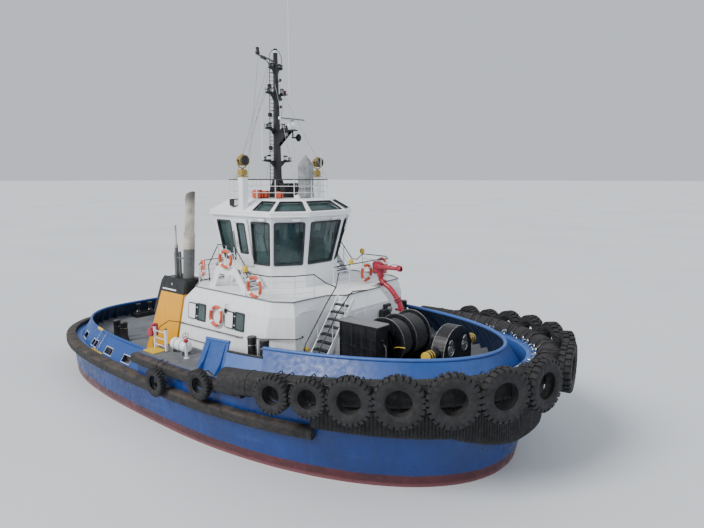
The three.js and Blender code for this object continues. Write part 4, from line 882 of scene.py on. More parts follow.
def gasket(shape, corners, normal, look="gasket", wide=0.045, inner=0.022, deep=0.075, proud=0.014,
           radius=0.1):
    rings = [(-wide, 0.002), (-wide, proud), (inner, proud), (inner, -deep)]
    shape.skin([[p + normal * out for p in rounded(corners, inset, radius)] for inset, out in rings],
               look, False, False)


CAB = Panels(both_sides([(2.95, 0.8), (2.198, 1.9), (-0.7, 1.9), (-1.242, 1.25)], 5.8),
             both_sides([(3.4, 1.05), (2.6, 2.22), (-0.9, 2.22), (-1.5, 1.5)], 7.78))
ROOF = Panels(both_sides([(3.48, 1.08), (2.66, 2.3), (-1.0, 2.3), (-1.6, 1.56)], 7.95),
              both_sides([(2.8, 0.75), (2.296, 1.5), (-0.6, 1.5), (-0.843, 1.2)], 8.42))
CAB_WINDOWS = (
    (7, 0.09, 0.91, 0.06, 0.88), (0, 0.1, 0.9, 0.06, 0.88), (6, 0.1, 0.9, 0.06, 0.88),
    (1, 0.03, 0.33, 0.06, 0.88),
    (5, 0.67, 0.97, 0.06, 0.88), (1, 0.7, 0.94, 0.1, 0.88), (5, 0.06, 0.3, 0.1, 0.88),
    (2, 0.14, 0.86, 0.1, 0.88),
    (4, 0.14, 0.86, 0.1, 0.88), (3, 0.06, 0.46, 0.06, 0.88), (3, 0.54, 0.94, 0.06, 0.88),
)
ROOF_WINDOWS = ((7, 0.08, 0.92), (0, 0.08, 0.92), (6, 0.08, 0.92), (1, 0.03, 0.3), (5, 0.7, 0.97))
trim = Shape("gasket", "white", "bright", "black")
for side, u0, u1, v0, v1 in CAB_WINDOWS:
    gasket(trim, CAB.quad(side, u0, u1, v0, v1), CAB.out(side))
for side, u0, u1 in ROOF_WINDOWS:
    gasket(trim, ROOF.quad(side, u0, u1, 0.12, 0.82), ROOF.out(side), wide=0.02, radius=0.06, deep=0.06)
# Wipers: a box over each front window, a guide rail under it, and a blade.
for side, middle in ((7, 0.5), (0, 0.5), (6, 0.5), (5, 0.82), (1, 0.18)):
    along = (CAB.at(side, 1, 0.9) - CAB.at(side, 0, 0.9)).normalized()
    span = 0.36 if side in (0, 6, 7) else 0.12
    up = (CAB.at(side, 0, 1) - CAB.at(side, 0, 0)).normalized()
    ends = [CAB.at(side, middle + shift, 0.925, 0.05) for shift in (-span, span)]
    trim.rod(ends[0], ends[1], 0.016, 8, "bright")
    box_at = CAB.at(side, middle + span * 0.45, 0.95, 0.07)
    trim.rod(box_at - along * 0.15, box_at + along * 0.15, 0.055, 8, "white")
    for k in (-0.9, 0.0, 0.9):
        foot = CAB.at(side, middle + span * k, 0.925, 0.0)
        trim.rod(foot, foot + CAB.out(side) * 0.06, 0.014, 6, "white")
    arm = CAB.at(side, middle + span * 0.75, 0.925, 0.05)
    blade = CAB.at(side, middle + span * 0.75, 0.46, 0.028)
    trim.tube([arm, arm.lerp(blade, 0.5) + CAB.out(side) * 0.03, blade], 0.011, 6, "black")
    trim.rod(blade - up * 0.42, blade + up * 0.42, 0.014, 6, "black")
# A rain gutter round the eaves, and grab rails beside the doors.
rim = both_sides([(3.49, 1.085), (2.667, 2.31), (-1.006, 2.31), (-1.61, 1.565)], 7.8)
trim.tube(rim, 0.022, 6, "white", True)
for sign in (-1, 1):
    for x in (0.28, 1.48):
        low, high = Vector((x, sign * 2.0, 6.25)), Vector((x, sign * 2.14, 7.15))
        trim.tube([low + Vector((0, -0.06 * sign, 0)), low, high, high + Vector((0, -0.06 * sign, 0))], 0.014,
                  6, "black")
trim.make("wheelhouse_trim")


# Fine rails with black handrails.
def fence(shape, feet, height, levels, bay, closed=False, thick=0.020, ground=None):
    points = [Vector(foot) for foot in feet]
    if closed:
        points = points[:-1]
    for level in levels:
        shape.tube([p + lift(level) for p in points], thick * 0.62, 8, "rail_white", closed)
    shape.tube([p + lift(height) for p in points], thick, 10, "black", closed)
    pairs = list(zip(points, points[1:] + points[:1])) if closed else list(zip(points, points[1:]))
    for k, (start, end) in enumerate(pairs):
        bays = max(1, round((end - start).length / bay))
        for i in range(bays + (1 if k == len(pairs) - 1 and not closed else 0)):
            foot = start.lerp(end, i / bays)
            base = Vector((foot.x, foot.y, ground(foot.x, foot.y) if ground else foot.z))
            shape.rod(base, foot + lift(height), thick * 0.85, 8, "rail_white")
            shape.turned([(0.055, 0.0), (0.055, 0.012), (thick, 0.016)], base, sides=12, look="rail_white")


def on_deck(points, z):
    return [(x, y, z) for x, y in points]


STARBOARD_RAIL = [(2.45, -3.38), (3.75, -3.38), (4.35, -2.75), (4.62, -2.05)]
PORT_RAIL = [(2.45, 3.38), (3.75, 3.38), (4.25, 2.85), (4.08, 2.4), (4.08, -0.4)]
AFT_RAIL = [(-0.43, -3.33), (-1.35, -2.5), (-1.35, 2.5), (-0.43, 3.33)]
for name, points in (("starboard", STARBOARD_RAIL), ("port", PORT_RAIL), ("aft", AFT_RAIL)):
    shape = Shape("rail_white", "black")
    fence(shape, on_deck(points, BRIDGE_DECK), 0.85, (0.22, 0.43, 0.64), 0.95)
    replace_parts(shape.make(f"bridge_rail_{name}_bars", slot="rail_paint"), f"bridge_rail_{name}")
ROOF_RAIL = [
    (2.55, -0.95), (2.55, 0.95), (1.3, 1.75), (-0.4, 1.75), (-0.9, 1.1), (-0.9, -1.1), (-0.4, -1.75),
    (1.3, -1.75),
    (2.55, -0.95),
]


# The roof's eaves, how far it rises from them, and how deep its sloping faces are at the sides and the back.
EAVES_Z, EAVES_HALF, ROOF_RISE = 7.95, 2.3, 0.47
SIDE_SLOPE_DEPTH, BACK_SLOPE_DEPTH, FLAT_AFT = 0.8, 0.757, -0.843
ROOF_RAIL_TOP = ROOF_TOP + 0.75


def roof_height(x, y):
    """The roof's outer face under a point: flat in the middle, falling to the sides and the back."""
    side = EAVES_Z + (EAVES_HALF - abs(y)) * ROOF_RISE / SIDE_SLOPE_DEPTH
    back = ROOF_TOP - (FLAT_AFT - x) * ROOF_RISE / BACK_SLOPE_DEPTH
    return min(ROOF_TOP, side, back)


shape = Shape("rail_white", "black")
fence(shape, on_deck(ROOF_RAIL, ROOF_TOP), 0.75, (0.25, 0.5), 0.85, True, 0.018, roof_height)
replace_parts(shape.make("roof_rail_bars", slot="rail_paint"), "roof_rail")

# Landing handrails with steps, the stair's handrails, and the storm rails on the house.
hand = Shape("black", "rail_white")
for sign in (-1, 1):
    line = [(-0.32, 2.92, 5.05), (-0.36, 2.92, 5.80), (0.30, 2.92, 6.68), (1.28, 2.92, 6.68),
            (2.20, 2.92, 5.66), (2.34, 3.1, 5.62),
            (2.45, 3.36, 5.84)]
    hand.tube(mirrored(line, sign), 0.021, 10, "black")
    for x, low, high in ((0.3, 5.85, 6.66), (0.8, 5.85, 6.68), (1.28, 5.86, 6.66), (1.72, 5.43, 6.18)):
        hand.rod((x, sign * 2.92, low), (x, sign * 2.92, high), 0.017, 8, "rail_white")
    for rise in (0.28, 0.55):
        hand.tube([(0.3, sign * 2.92, 5.85 + rise), (1.28, sign * 2.92, 5.85 + rise),
                   (1.98, sign * 2.92, 5.12 + rise)],
                  0.012, 8, "rail_white")
for x, line in ((5.1, [(-1.28, 5.86), (-1.42, 5.36), (-1.75, 5.05), (-2.06, 4.71), (-3.0, 3.62), (-3.05, 3.5),
                       (-3.05, 2.7)]),
                (5.8, [(-0.5, 5.2), (-1.3, 5.28), (-1.5, 5.2), (-2.14, 4.65), (-3.02, 3.62), (-3.06, 3.5),
                       (-3.06, 2.7)])):
    hand.tube([(x, y, z) for y, z in line], 0.022, 10, "black")
    for y, low, high in ((-1.75, 4.3, 5.0), (-2.4, 3.5, 4.32)):
        hand.rod((x, y, low), (x, y, high), 0.016, 8, "rail_white")
hand.tube([(4.62, -2.05, 5.85), (4.95, -1.8, 5.55), (5.1, -1.42, 5.36)], 0.021, 10, "black")
hand.rod((5.8, -0.5, 5.2), (5.72, -0.5, 4.3), 0.017, 8, "rail_white")


# The house side: half its breadth at the raised deck, and how much it leans in.
HOUSE_HALF, HOUSE_LEAN = 3.85, 0.108


def wall_y(z):
    return HOUSE_HALF - HOUSE_LEAN * (z - RAISED_DECK)


for sign in (-1, 1):
    line = [(-1.95, 4.30, 3.08), (-1.74, 3.95, 3.50)] + [(x, wall_y(3.53) + 0.07, 3.5 + 0.018 * (x + 1.7))
                                                         for x in (-1.2, 0.4, 2.6)]
    line.append((2.68, wall_y(3.53) + 0.01, 3.58))
    if sign < 0:
        line.insert(0, (-1.5, 4.75, 3.05))
        line[1] = (-1.75, 4.35, 3.35)
    hand.tube(mirrored(line, sign), 0.018, 8, "black")
    for x in (-1.0, 0.1, 1.3, 2.4):
        hand.rod((x, sign * (wall_y(3.5) - 0.01), 3.52), (x, sign * (wall_y(3.5) + 0.07), 3.52), 0.012, 6,
                 "black")
    hand.tube([(-0.87, sign * (wall_y(2.97) + 0.01), 2.97), (-0.8, sign * (wall_y(2.97) + 0.08), 2.97),
               (1.4, sign * (wall_y(2.97) + 0.08), 3.0), (1.46, sign * (wall_y(2.97) + 0.01), 3.0)], 0.016, 8,
               "black")
    hand.tube([(3.3, sign * 3.80, 3.72), (3.36, sign * 3.87, 3.72), (3.72, sign * 3.88, 3.73),
               (4.86, sign * 3.19, 3.76),
               (4.86, sign * 2.86, 3.78), (4.76, sign * 2.82, 3.78)], 0.019, 8, "black")
    hand.tube([(4.70, sign * 2.94, 4.62), (4.80, sign * 2.94, 4.65), (4.80, sign * 2.04, 4.60),
               (4.70, sign * 2.04, 4.58)],
              0.014, 8, "rail_white")
hand.make("handrails", slot="rail_paint")


# Lifebuoys, with grab lines and pale bands.
def lifebuoy(shape, at, axis, radius=0.30):
    shape.ring(at, axis, radius, 0.062, 40, "orange", 12)
    turn = aim(axis)
    for k in range(4):
        angle = math.tau * (k + 0.5) / 4
        band = (angle - 0.13, angle - 0.045, angle + 0.045, angle + 0.13)
        spots = [Vector(at) + turn @ Vector((radius * math.cos(a), radius * math.sin(a), 0)) for a in band]
        shape.tube(spots, 0.0655, 12, "white")
    line = []
    for k in range(48):
        angle = math.tau * k / 48
        reach = radius + 0.068 + 0.03 * abs(math.sin(angle * 2))
        line.append(Vector(at) + turn @ Vector((reach * math.cos(angle), reach * math.sin(angle), 0)))
    shape.tube(line, 0.007, 5, "white", True)


buoys = Shape("orange", "white")
for at, axis, radius in (
    ((1.16, -wall_y(4.12) - 0.08, 4.12), (0, -1, 0.11), 0.34),
    ((0.86, -3.02, 6.16), (0.1, -1, 0), 0.31),
    ((-0.48, -3.10, 5.72), (-0.55, -1, 0), 0.30),
    ((3.05, -3.48, 5.42), (0, -1, 0), 0.34),
    ((3.6, 3.3, 5.42), (0.3, 1, 0), 0.32),
    ((4.16, 1.5, 5.42), (1, 0, 0), 0.30),
    ((-1.42, -1.4, 5.45), (-1, 0, 0), 0.31),
):
    lifebuoy(buoys, at, axis, radius)
buoys.make("lifebuoys")

# Side windows of the house, each with a swung-back cover; small lamps, boxes and pipes on the walls.
house = Shape("white", "gasket", "glass", "black", "yellow", "bright", "grey", "lens")


def wall_quad(x0, x1, z0, z1, sign):
    quad = [Vector((x, sign * wall_y(z), z)) for x, z in ((x0, z0), (x1, z0), (x1, z1), (x0, z1))]
    return quad if sign < 0 else quad[::-1]


for sign in (-1, 1):
    normal = Vector((0, sign, HOUSE_LEAN)).normalized()
    for x in (0.15, 2.44):
        quad = wall_quad(x - 0.24, x + 0.26, 3.78, 4.40, sign)
        pane = [p + normal * 0.005 for p in rounded(quad, 0.01, 0.07)]
        house.skin([pane, [p + normal * 0.004 for p in pane]], "glass", False)
        gasket(house, quad, normal, wide=0.03, inner=0.03, deep=0.0, proud=0.03, radius=0.07)
        cover = rounded(wall_quad(x - 0.78, x - 0.30, 3.79, 4.39, sign), 0.0, 0.06)
        house.skin([[p + normal * out for p in cover] for out in (0.028, 0.06)], "white", False)
        gasket(house, wall_quad(x - 0.78, x - 0.30, 3.79, 4.39, sign), normal, wide=0.008, inner=0.02,
               deep=-0.05,
               proud=0.066, radius=0.06)
        for z in (3.92, 4.25):
            house.rod((x - 0.31, sign * wall_y(z), z), (x - 0.31, sign * (wall_y(z) + 0.07), z), 0.018, 8,
                      "black")
            house.block((x - 0.36, sign * wall_y(z), z - 0.02),
                        (x - 0.22, sign * (wall_y(z) + 0.04), z + 0.02), "white", 0.005)
    lamp_at = Vector((1.72, sign * (wall_y(4.42) + 0.09), 4.42))
    house.turned([(0.05, -0.09), (0.06, -0.03), (0.06, 0.03), (0.045, 0.06), (0.0, 0.07)], lamp_at,
                 look="black", sides=16)
    house.tube([lamp_at + lift(0.06), lamp_at + lift(0.2), lamp_at + Vector((0, -sign * 0.11, 0.22))],
               0.012, 6, "black")
house.turned([(0.07, -0.05), (0.09, 0.0), (0.09, 0.05), (0.03, 0.09)], (4.82, -2.7, 3.3), (1, 0, 0),
             look="yellow", sides=18)
house.rod((4.7, -2.7, 3.3), (4.80, -2.7, 3.3), 0.02, 8, "bright")
for sign in (-1, 1):
    stand = Vector((2.43, sign * 3.36, 5.84))
    house.turned([(0.02, 0.0), (0.10, 0.05), (0.11, 0.18), (0.07, 0.25), (0.0, 0.26)], stand, look="yellow",
                 sides=18)
house.turned([(0.02, 0.0), (0.09, 0.05), (0.10, 0.16), (0.06, 0.22), (0.0, 0.23)], (4.1, 0.6, 5.84),
             look="yellow", sides=18)
# Coaming and a dark line along the edge of the bridge deck.
edge = both_sides([(5.21, 1.03), (4.71, 1.5), (4.62, 3.09), (3.97, 3.51), (-0.44, 3.51), (-1.44, 2.61)],
                  BRIDGE_DECK + 0.015)
house.tube(edge, 0.026, 8, "grey", True)
# Front house: a door-sized plate, and boxes with a round cap beside it.
FRONT_X = 5.5
corners = [Vector((FRONT_X, y, z)) for y, z in ((-0.9, 3.0), (0.75, 3.0), (0.75, 4.35), (-0.9, 4.35))]
house.skin([[p + Vector((out, 0, 0)) for p in rounded(corners, 0, 0.12)] for out in (0.0, 0.02)], "white",
           False)
house.block((FRONT_X, 0.86, 3.86), (5.66, 1.2, 4.4), "black", 0.02)
house.block((5.55, 0.55, 3.95), (5.78, 0.92, 4.25), "black", 0.02)
house.turned([(0.12, 0.0), (0.12, 0.08), (0.05, 0.12)], (5.66, 1.03, 4.2), (1, 0, 0), look="grey", sides=18)
# Deckhouse roof gear: mushroom vents aft of the wheelhouse, and hatches on the after house.
for x, y, size in ((-0.95, 0.9, 0.16), (-0.95, -0.9, 0.16), (-2.3, 1.6, 0.2), (-3.2, -1.5, 0.2),
                   (-2.3, -0.6, 0.14)):
    z = BRIDGE_DECK if x > -1.4 else 4.4
    house.turned([(size * 0.6, 0.0), (size * 0.6, 0.34), (size * 1.25, 0.36), (size * 1.3, 0.44),
                  (size * 0.9, 0.54), (0, 0.57)],
                 (x, y, z), look="white", sides=24)
house.block((-3.5, -0.2, 4.4), (-2.6, 0.7, 4.58), "white", 0.03)
house.block((-3.53, -0.23, 4.58), (-2.57, 0.73, 4.63), "white", 0.02)
for y in (-1.9, 0.0, 1.9):
    house.block((-3.94, y - 0.16, 4.0), (-3.86, y + 0.16, 4.12), "lens", 0.02)
house.make("house_fittings")

# Funnel fins, stripes and louvres.
stacks = Shape("white", "black", "bright")
FUNNEL_AFT = ((-4.58, MAIN_DECK), (-2.75, 5.15))
FUNNEL_FORE = ((-2.4, MAIN_DECK), (-1.3, 5.15))
STRIPE_Z = 4.60


def funnel_x(z, aft=True):
    (x0, z0), (x1, z1) = FUNNEL_AFT if aft else FUNNEL_FORE
    return x0 + (x1 - x0) * (z - z0) / (z1 - z0)


for sign in (-1, 1):
    for y in (2.63, 3.37):
        low, high = 3.35, 5.18
        ring = [(funnel_x(low) + 0.02, low), (funnel_x(low + 0.12) - 0.17, low + 0.16),
                (funnel_x(4.95) - 0.2, 4.95),
                (funnel_x(5.1) - 0.05, high), (funnel_x(high) + 0.3, high)]
        stacks.slab([(x, sign * y, z) for x, z in ring], Vector((0, 0.025, 0)), "black")
    x, z = funnel_x(STRIPE_Z) + 0.06, STRIPE_Z
    ring = [(x, z), (x + 0.98, z), (x + 1.0, z + 0.06), (x + 0.02, z + 0.06)]
    stacks.slab([(x, sign * 3.405, z) for x, z in ring], Vector((0, sign * 0.007, 0)), "white")
    for k in range(7):
        z = 4.62 + 0.06 * k
        stacks.block((funnel_x(z, False) - 0.01, sign * 2.75, z),
                     (funnel_x(z, False) + 0.03, sign * 3.25, z + 0.03), "black", 0.006)
    stacks.turned([(0.055, 0), (0.055, 0.02), (0.02, 0.03)], (-2.25, sign * 3.40, 4.88), (0, sign, 0),
                  look="bright", sides=14)
stacks.make("funnel_trim", slot="funnel_paint")

# Mast: a tapered pole with a ladder, crosstrees with lanterns, aerials, a horn, and its stays.
MAST_X = 0.6
mast = Shape("black", "white", "bright", "red", "glass", "grey")
mast.turned([(0.34, 0.0), (0.34, 0.03), (0.21, 0.05), (0.19, 0.3), (0.15, 2.2), (0.115, 4.2), (0.09, 5.75),
             (0.02, 5.78)],
            (MAST_X, 0, ROOF_TOP), sides=24, look="black")
for angle in around(4, 0.5):
    step = Vector((math.cos(angle), math.sin(angle), 0))
    foot = Vector((MAST_X, 0, ROOF_TOP))
    ring = [foot + step * out + lift(z) for out, z in ((0.18, 0), (0.42, 0), (0.42, 0.05), (0.2, 0.75),
                                                       (0.17, 0.75))]
    mast.slab(ring, beside(step) * 0.012, "black")
for sign in (-1, 1):
    mast.rod((MAST_X - 0.30, sign * 0.15, ROOF_TOP + 0.3), (MAST_X - 0.22, sign * 0.13, 13.7), 0.014, 6,
             "black")
for k in range(34):
    z = ROOF_TOP + 0.55 + 0.15 * k
    x = MAST_X - 0.30 + 0.08 * (z - 8.7) / 5
    mast.rod((x, -0.15, z), (x, 0.15, z), 0.010, 6, "black")
    if k % 5 == 0:
        mast.rod((x, 0.14, z), (MAST_X - 0.05, 0.05, z), 0.012, 6, "black")
        mast.rod((x, -0.14, z), (MAST_X - 0.05, -0.05, z), 0.012, 6, "black")


def lantern(shape, at, size=1.0, look="glass"):
    x, y, z = at
    shape.turned([(0.075 * size, 0.0), (0.085 * size, 0.02), (0.085 * size, 0.045)], at, sides=16,
                 look="black")
    shape.turned([(0.062 * size, 0.0), (0.066 * size, 0.05), (0.062 * size, 0.10)], (x, y, z + 0.045 * size),
                 sides=16, look=look)
    shape.turned([(0.088 * size, 0.0), (0.088 * size, 0.02), (0.05 * size, 0.06), (0.0, 0.065)],
                 (x, y, z + 0.145 * size),
                 sides=16, look="black")


for z, half in ((9.9, 0.75), (11.2, 0.60), (12.6, 0.52), (13.6, 0.33)):
    for sign in (-1, 1):
        ring = [(0.06, z + 0.03), (half, z + 0.03), (half, z), (half * 0.55, z - 0.03), (0.06, z - 0.34)]
        mast.slab([(MAST_X, sign * y, h) for y, h in ring], Vector((0.03, 0, 0)), "black")
        mast.block((MAST_X - 0.14, sign * 0.22, z + 0.02),
                   (MAST_X + 0.14, sign * half, z + 0.04), "black", 0.005)
        mast.tube([(MAST_X, sign * half, z + 0.02), (MAST_X, sign * (half + 0.05), z + 0.06),
                   (MAST_X, sign * (half + 0.05), z + 0.22)],
                  0.012, 6, "black")
        lantern(mast, (MAST_X, sign * half * 0.62, z + 0.04), 1.15 if z < 13 else 0.9,
                "white" if z < 10 else "glass")
        lantern(mast, (MAST_X + 0.02, sign * half * 0.9, z + 0.04), 0.7, "red" if sign > 0 else "glass")
for z, reach in ((10.7, 0.26), (12.05, 0.22), (12.35, 0.24), (13.1, 0.22)):
    mast.block((MAST_X + 0.08, -0.03, z - 0.02), (MAST_X + 0.08 + reach, 0.03, z), "black", 0.006)
    mast.turned([(0.05, 0), (0.055, 0.03), (0.04, 0.1), (0, 0.11)], (MAST_X + 0.05 + reach, 0, z), sides=14,
                look="black")
for z in (10.4, 11.75, 12.9):
    mast.block((MAST_X - 0.42, -0.03, z - 0.02), (MAST_X - 0.08, 0.03, z), "black", 0.006)
    mast.block((MAST_X - 0.46, -0.07, z), (MAST_X - 0.32, 0.07, z + 0.16), "black", 0.02)
# Radar bracket with its gusset, and the horn under it.
mast.block((MAST_X, -0.14, 11.10), (1.70, 0.14, 11.15), "black", 0.012)
ring = [(MAST_X + 0.05, 11.1), (1.45, 11.1), (MAST_X + 0.08, 10.5)]
for y in (-0.09, 0.09):
    mast.slab([(x, y, z) for x, z in ring], Vector((0, 0.01, 0)), "black")
mast.turned([(0.03, 0.0), (0.035, 0.18), (0.07, 0.28), (0.15, 0.36), (0.155, 0.37), (0.13, 0.36),
             (0.03, 0.2)], (1.38, 0.12, 10.85),
            (1, 0, -0.05), sides=20, look="black")
mast.rod((1.42, 0.12, 10.86), (1.42, 0.12, 11.1), 0.03, 8, "black")
mast.turned([(0.06, 0.0), (0.06, 0.12), (0.03, 0.14)], (1.3, -0.1, 10.9), sides=12, look="grey")
mast.rod((1.3, -0.1, 11.0), (1.3, -0.1, 11.12), 0.014, 6, "black")
# Gaff with the aft lamp, a masthead lantern cage and a wind vane.
mast.rod((MAST_X, 0, 13.88), (-0.52, 0, 14.34), 0.036, 8, "black")
mast.rod((MAST_X, 0, 13.5), (-0.1, 0, 14.15), 0.02, 8, "black")
mast.turned([(0.03, -0.02), (0.09, 0.0), (0.10, 0.05), (0.075, 0.12), (0.07, 0.22), (0.09, 0.24), (0.0, 0.3)],
            (-0.48, 0, 14.34),
            sides=18, look="black")
mast.rod((-0.25, 0, 14.2), (0.0, 0.0, 14.1), 0.07, 10, "black")
lantern(mast, (MAST_X, 0, 14.18), 1.1, "white")
for sign in (-1, 1):
    mast.tube([(MAST_X, sign * 0.33, 13.63), (MAST_X, sign * 0.33, 14.1), (MAST_X, sign * 0.2, 14.3),
               (MAST_X, 0, 14.36)], 0.013, 6, "black")
# Whip aerials.
mast.rod((MAST_X, 0.45, 12.62), (0.92, 0.45, 12.62), 0.02, 8, "black")
mast.tube([(0.9, 0.45, 12.55), (0.9, 0.45, 12.9), (0.9, 0.45, 13.3), (0.9, 0.45, 16.4)],
          [0.028, 0.024, 0.013, 0.006], 8, "white")
for x, y, top in ((MAST_X, -0.81, 12.1), (1.0, 0.62, 11.4), (2.2, 0.95, 10.35), (2.05, 1.1, 10.1)):
    foot = 9.95 if x == MAST_X else ROOF_TOP
    mast.tube([(x, y, foot), (x, y, foot + 0.25), (x, y, top)], [0.022, 0.016, 0.006], 6, "white")
# Stays and signal halyards, stretched tight.
for sign in (-1, 1):
    mast.rod((MAST_X - 0.04, sign * 0.5, 12.64), (-0.9, sign * 1.1, ROOF_RAIL_TOP), 0.009, 6, "bright")
    mast.rod((MAST_X, sign * 0.07, 13.1), (2.55, sign * 0.95, ROOF_RAIL_TOP), 0.008, 6, "bright")
for dy in (-0.28, -0.42, 0.3):
    mast.rod((MAST_X - 0.05, dy, 13.62), (-0.9, dy * 2.4, ROOF_RAIL_TOP), 0.006, 5, "grey")
mast.rod((-0.42, 0.0, 14.32), (-0.9, -0.35, ROOF_RAIL_TOP), 0.006, 5, "grey")
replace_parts(mast.make("mast_pole", slot="black_paint"), "mast")

RADAR_AT = Vector((1.5, 0, 11.15))
radar = Shape("white", "bright")
radar.turned([(0.10, 0.0), (0.15, 0.01), (0.15, 0.03), (0.12, 0.04), (0.165, 0.09), (0.18, 0.15),
              (0.175, 0.21), (0.13, 0.28),
              (0.07, 0.31), (0.06, 0.34)], RADAR_AT, sides=32, look="white")
for bolt in circle(0.135, 6):
    radar.turned([(0.012, 0), (0.012, 0.05)], RADAR_AT + bolt, sides=8, look="bright")
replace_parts(radar.make("radar_motor", slot="rail_paint"), "radar_housing")
scan = Shape("white", "grey")
BAR = 11.511
BAR_MIDDLE = 0.055
scan.turned([(0.09, -0.02), (0.09, 0.0), (0.06, 0.02)], (RADAR_AT.x, 0, BAR), sides=20, look="grey")
ring = [(-0.055, 0.0), (0.055, 0.0), (0.06, 0.05), (0.045, 0.10), (-0.03, 0.11), (-0.06, 0.07)]
scan.skin([[(RADAR_AT.x + x * s, y, BAR + BAR_MIDDLE + (z - BAR_MIDDLE) * s) for x, z in ring]
           for y, s in ((-0.70, 0.6), (-0.68, 1), (-0.3, 1), (0.3, 1), (0.68, 1), (0.70, 0.6))], "white",
           False)
scan.skin([[(RADAR_AT.x + x, y, BAR + z) for x, z in ((0.05, 0.03), (0.063, 0.03), (0.058, 0.085),
                                                      (0.045, 0.085))]
           for y in (-0.66, 0.66)], "grey", False)
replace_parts(scan.make("radar_bar", body="radar_scanner", slot="rail_paint"), "radar_scanner")

# Searchlights on their pedestals.
for side, name in SIDES:
    light = Shape("ochre", "black", "lens")
    base = Vector((0.9, side * 2.1, 9.32))
    light.turned([(0.07, 0), (0.07, 0.02)], base, sides=20, look="black")
    light.matrix = Matrix.Translation(base)
    light.block((-0.14, -0.14, 0.012), (0.14, 0.14, 0.235), "ochre", 0.02)
    light.block((-0.145, -0.145, 0.10), (0.145, 0.145, 0.125), "ochre", 0.006)
    light.turned([(0.075, 0.235), (0.06, 0.25), (0.05, 0.31)], (0, 0, 0), sides=18, look="ochre")
    yoke = [(0.0, -0.05, 0.31), (0, -0.14, 0.33), (0, -0.22, 0.42), (0, -0.235, 0.58)]
    for sign in (-1, 1):
        light.tube(mirrored(yoke, sign), 0.022, 10, "ochre")
        light.turned([(0.05, 0), (0.05, 0.03), (0.02, 0.045)], (0, sign * 0.205, 0.58), (0, sign, 0),
                     sides=16, look="black")
    light.turned([(0.04, -0.19), (0.13, -0.185), (0.175, -0.15), (0.19, -0.06), (0.195, 0.12), (0.205, 0.125),
                  (0.205, 0.185),
                  (0.185, 0.19), (0.18, 0.16)], (0, 0, 0.58), (1, 0, 0), sides=36, look="ochre")
    light.turned([(0.185, 0.155), (0.12, 0.165), (0.0, 0.17)], (0, 0, 0.58), (1, 0, 0), sides=36, look="lens")
    light.turned([(0.206, 0.13), (0.207, 0.18), (0.187, 0.192), (0.184, 0.17)], (0, 0, 0.58), (1, 0, 0),
                 sides=36, look="black")
    for k in range(5):
        light.turned([(0.196, -0.045 + 0.03 * k), (0.2, -0.04 + 0.03 * k), (0.196, -0.033 + 0.03 * k)],
                     (0, 0, 0.58), (1, 0, 0),
                     sides=36, look="ochre")
    light.block((-0.07, -0.03, 0.76), (0.09, 0.03, 0.83), "ochre", 0.01)
    light.matrix = Matrix.Identity(4)
    piece = light.make(f"searchlight_{name}_lamp", body=f"searchlight_{name}", slot="lamp_paint")
    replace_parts(piece, f"searchlight_{name}")

# Roof gear: floodlights, stowed orange boxes, cabinet, domes, ladder rungs on the pedestals.
gear = Shape("black", "orange", "white", "lens", "bright", "ochre")
for sign in (-1, 1):
    gear.block((0.08, sign * 1.98 - 0.17, 8.13), (0.36, sign * 1.98 + 0.17, 8.42), "black", 0.025)
    gear.block((0.36, sign * 1.98 - 0.14, 8.16), (0.38, sign * 1.98 + 0.14, 8.39), "lens", 0.01)
    gear.rod((0.22, sign * 1.98, 8.0), (0.22, sign * 1.98, 8.15), 0.025, 8, "bright")
    for z in (8.5, 8.75, 9.0):
        gear.tube([(0.78, sign * 2.1 - 0.11, z), (0.70, sign * 2.1 - 0.11, z), (0.70, sign * 2.1 + 0.11, z),
                   (0.78, sign * 2.1 + 0.11, z)],
                  0.012, 6, "bright")
    gear.block((0.74, sign * 2.1 - 0.16, 9.27), (1.06, sign * 2.1 + 0.16, 9.318), "ochre", 0.008)
for x, y, a, b, c in ((0.52, -1.22, 0.42, 0.30, 0.34), (0.56, -0.88, 0.40, 0.28, 0.30),
                      (1.30, -0.72, 0.30, 0.26, 0.28)):
    gear.block((x, y - b / 2, ROOF_TOP), (x + a, y + b / 2, ROOF_TOP + c), "orange", 0.05)
    gear.block((x - 0.004, y - 0.03, ROOF_TOP + 0.01), (x + a + 0.004, y + 0.03, ROOF_TOP + c + 0.006),
               "black", 0.004)
gear.turned([(0.19, 0.0), (0.20, 0.10), (0.17, 0.22), (0.09, 0.29), (0, 0.31)], (-0.2, 0.9, 8.42), sides=28,
            look="white")
gear.turned([(0.12, 0.0), (0.12, 0.06), (0.09, 0.13), (0, 0.16)], (2.2, -0.45, 8.42), sides=24, look="white")
gear.make("roof_gear")
locker = Shape("black", "bright")
locker.block((0.83, -0.15, ROOF_TOP + 0.001), (1.18, 0.70, 8.98), "black", 0.03)
locker.block((0.828, -0.152, 8.96), (1.182, 0.702, 9.02), "black", 0.015)
for y in (0.05, 0.5):
    locker.block((1.18, y - 0.03, 8.86), (1.19, y + 0.03, 8.97), "bright", 0.003)
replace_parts(locker.make("roof_locker_box", slot="black_paint"), "roof_locker")

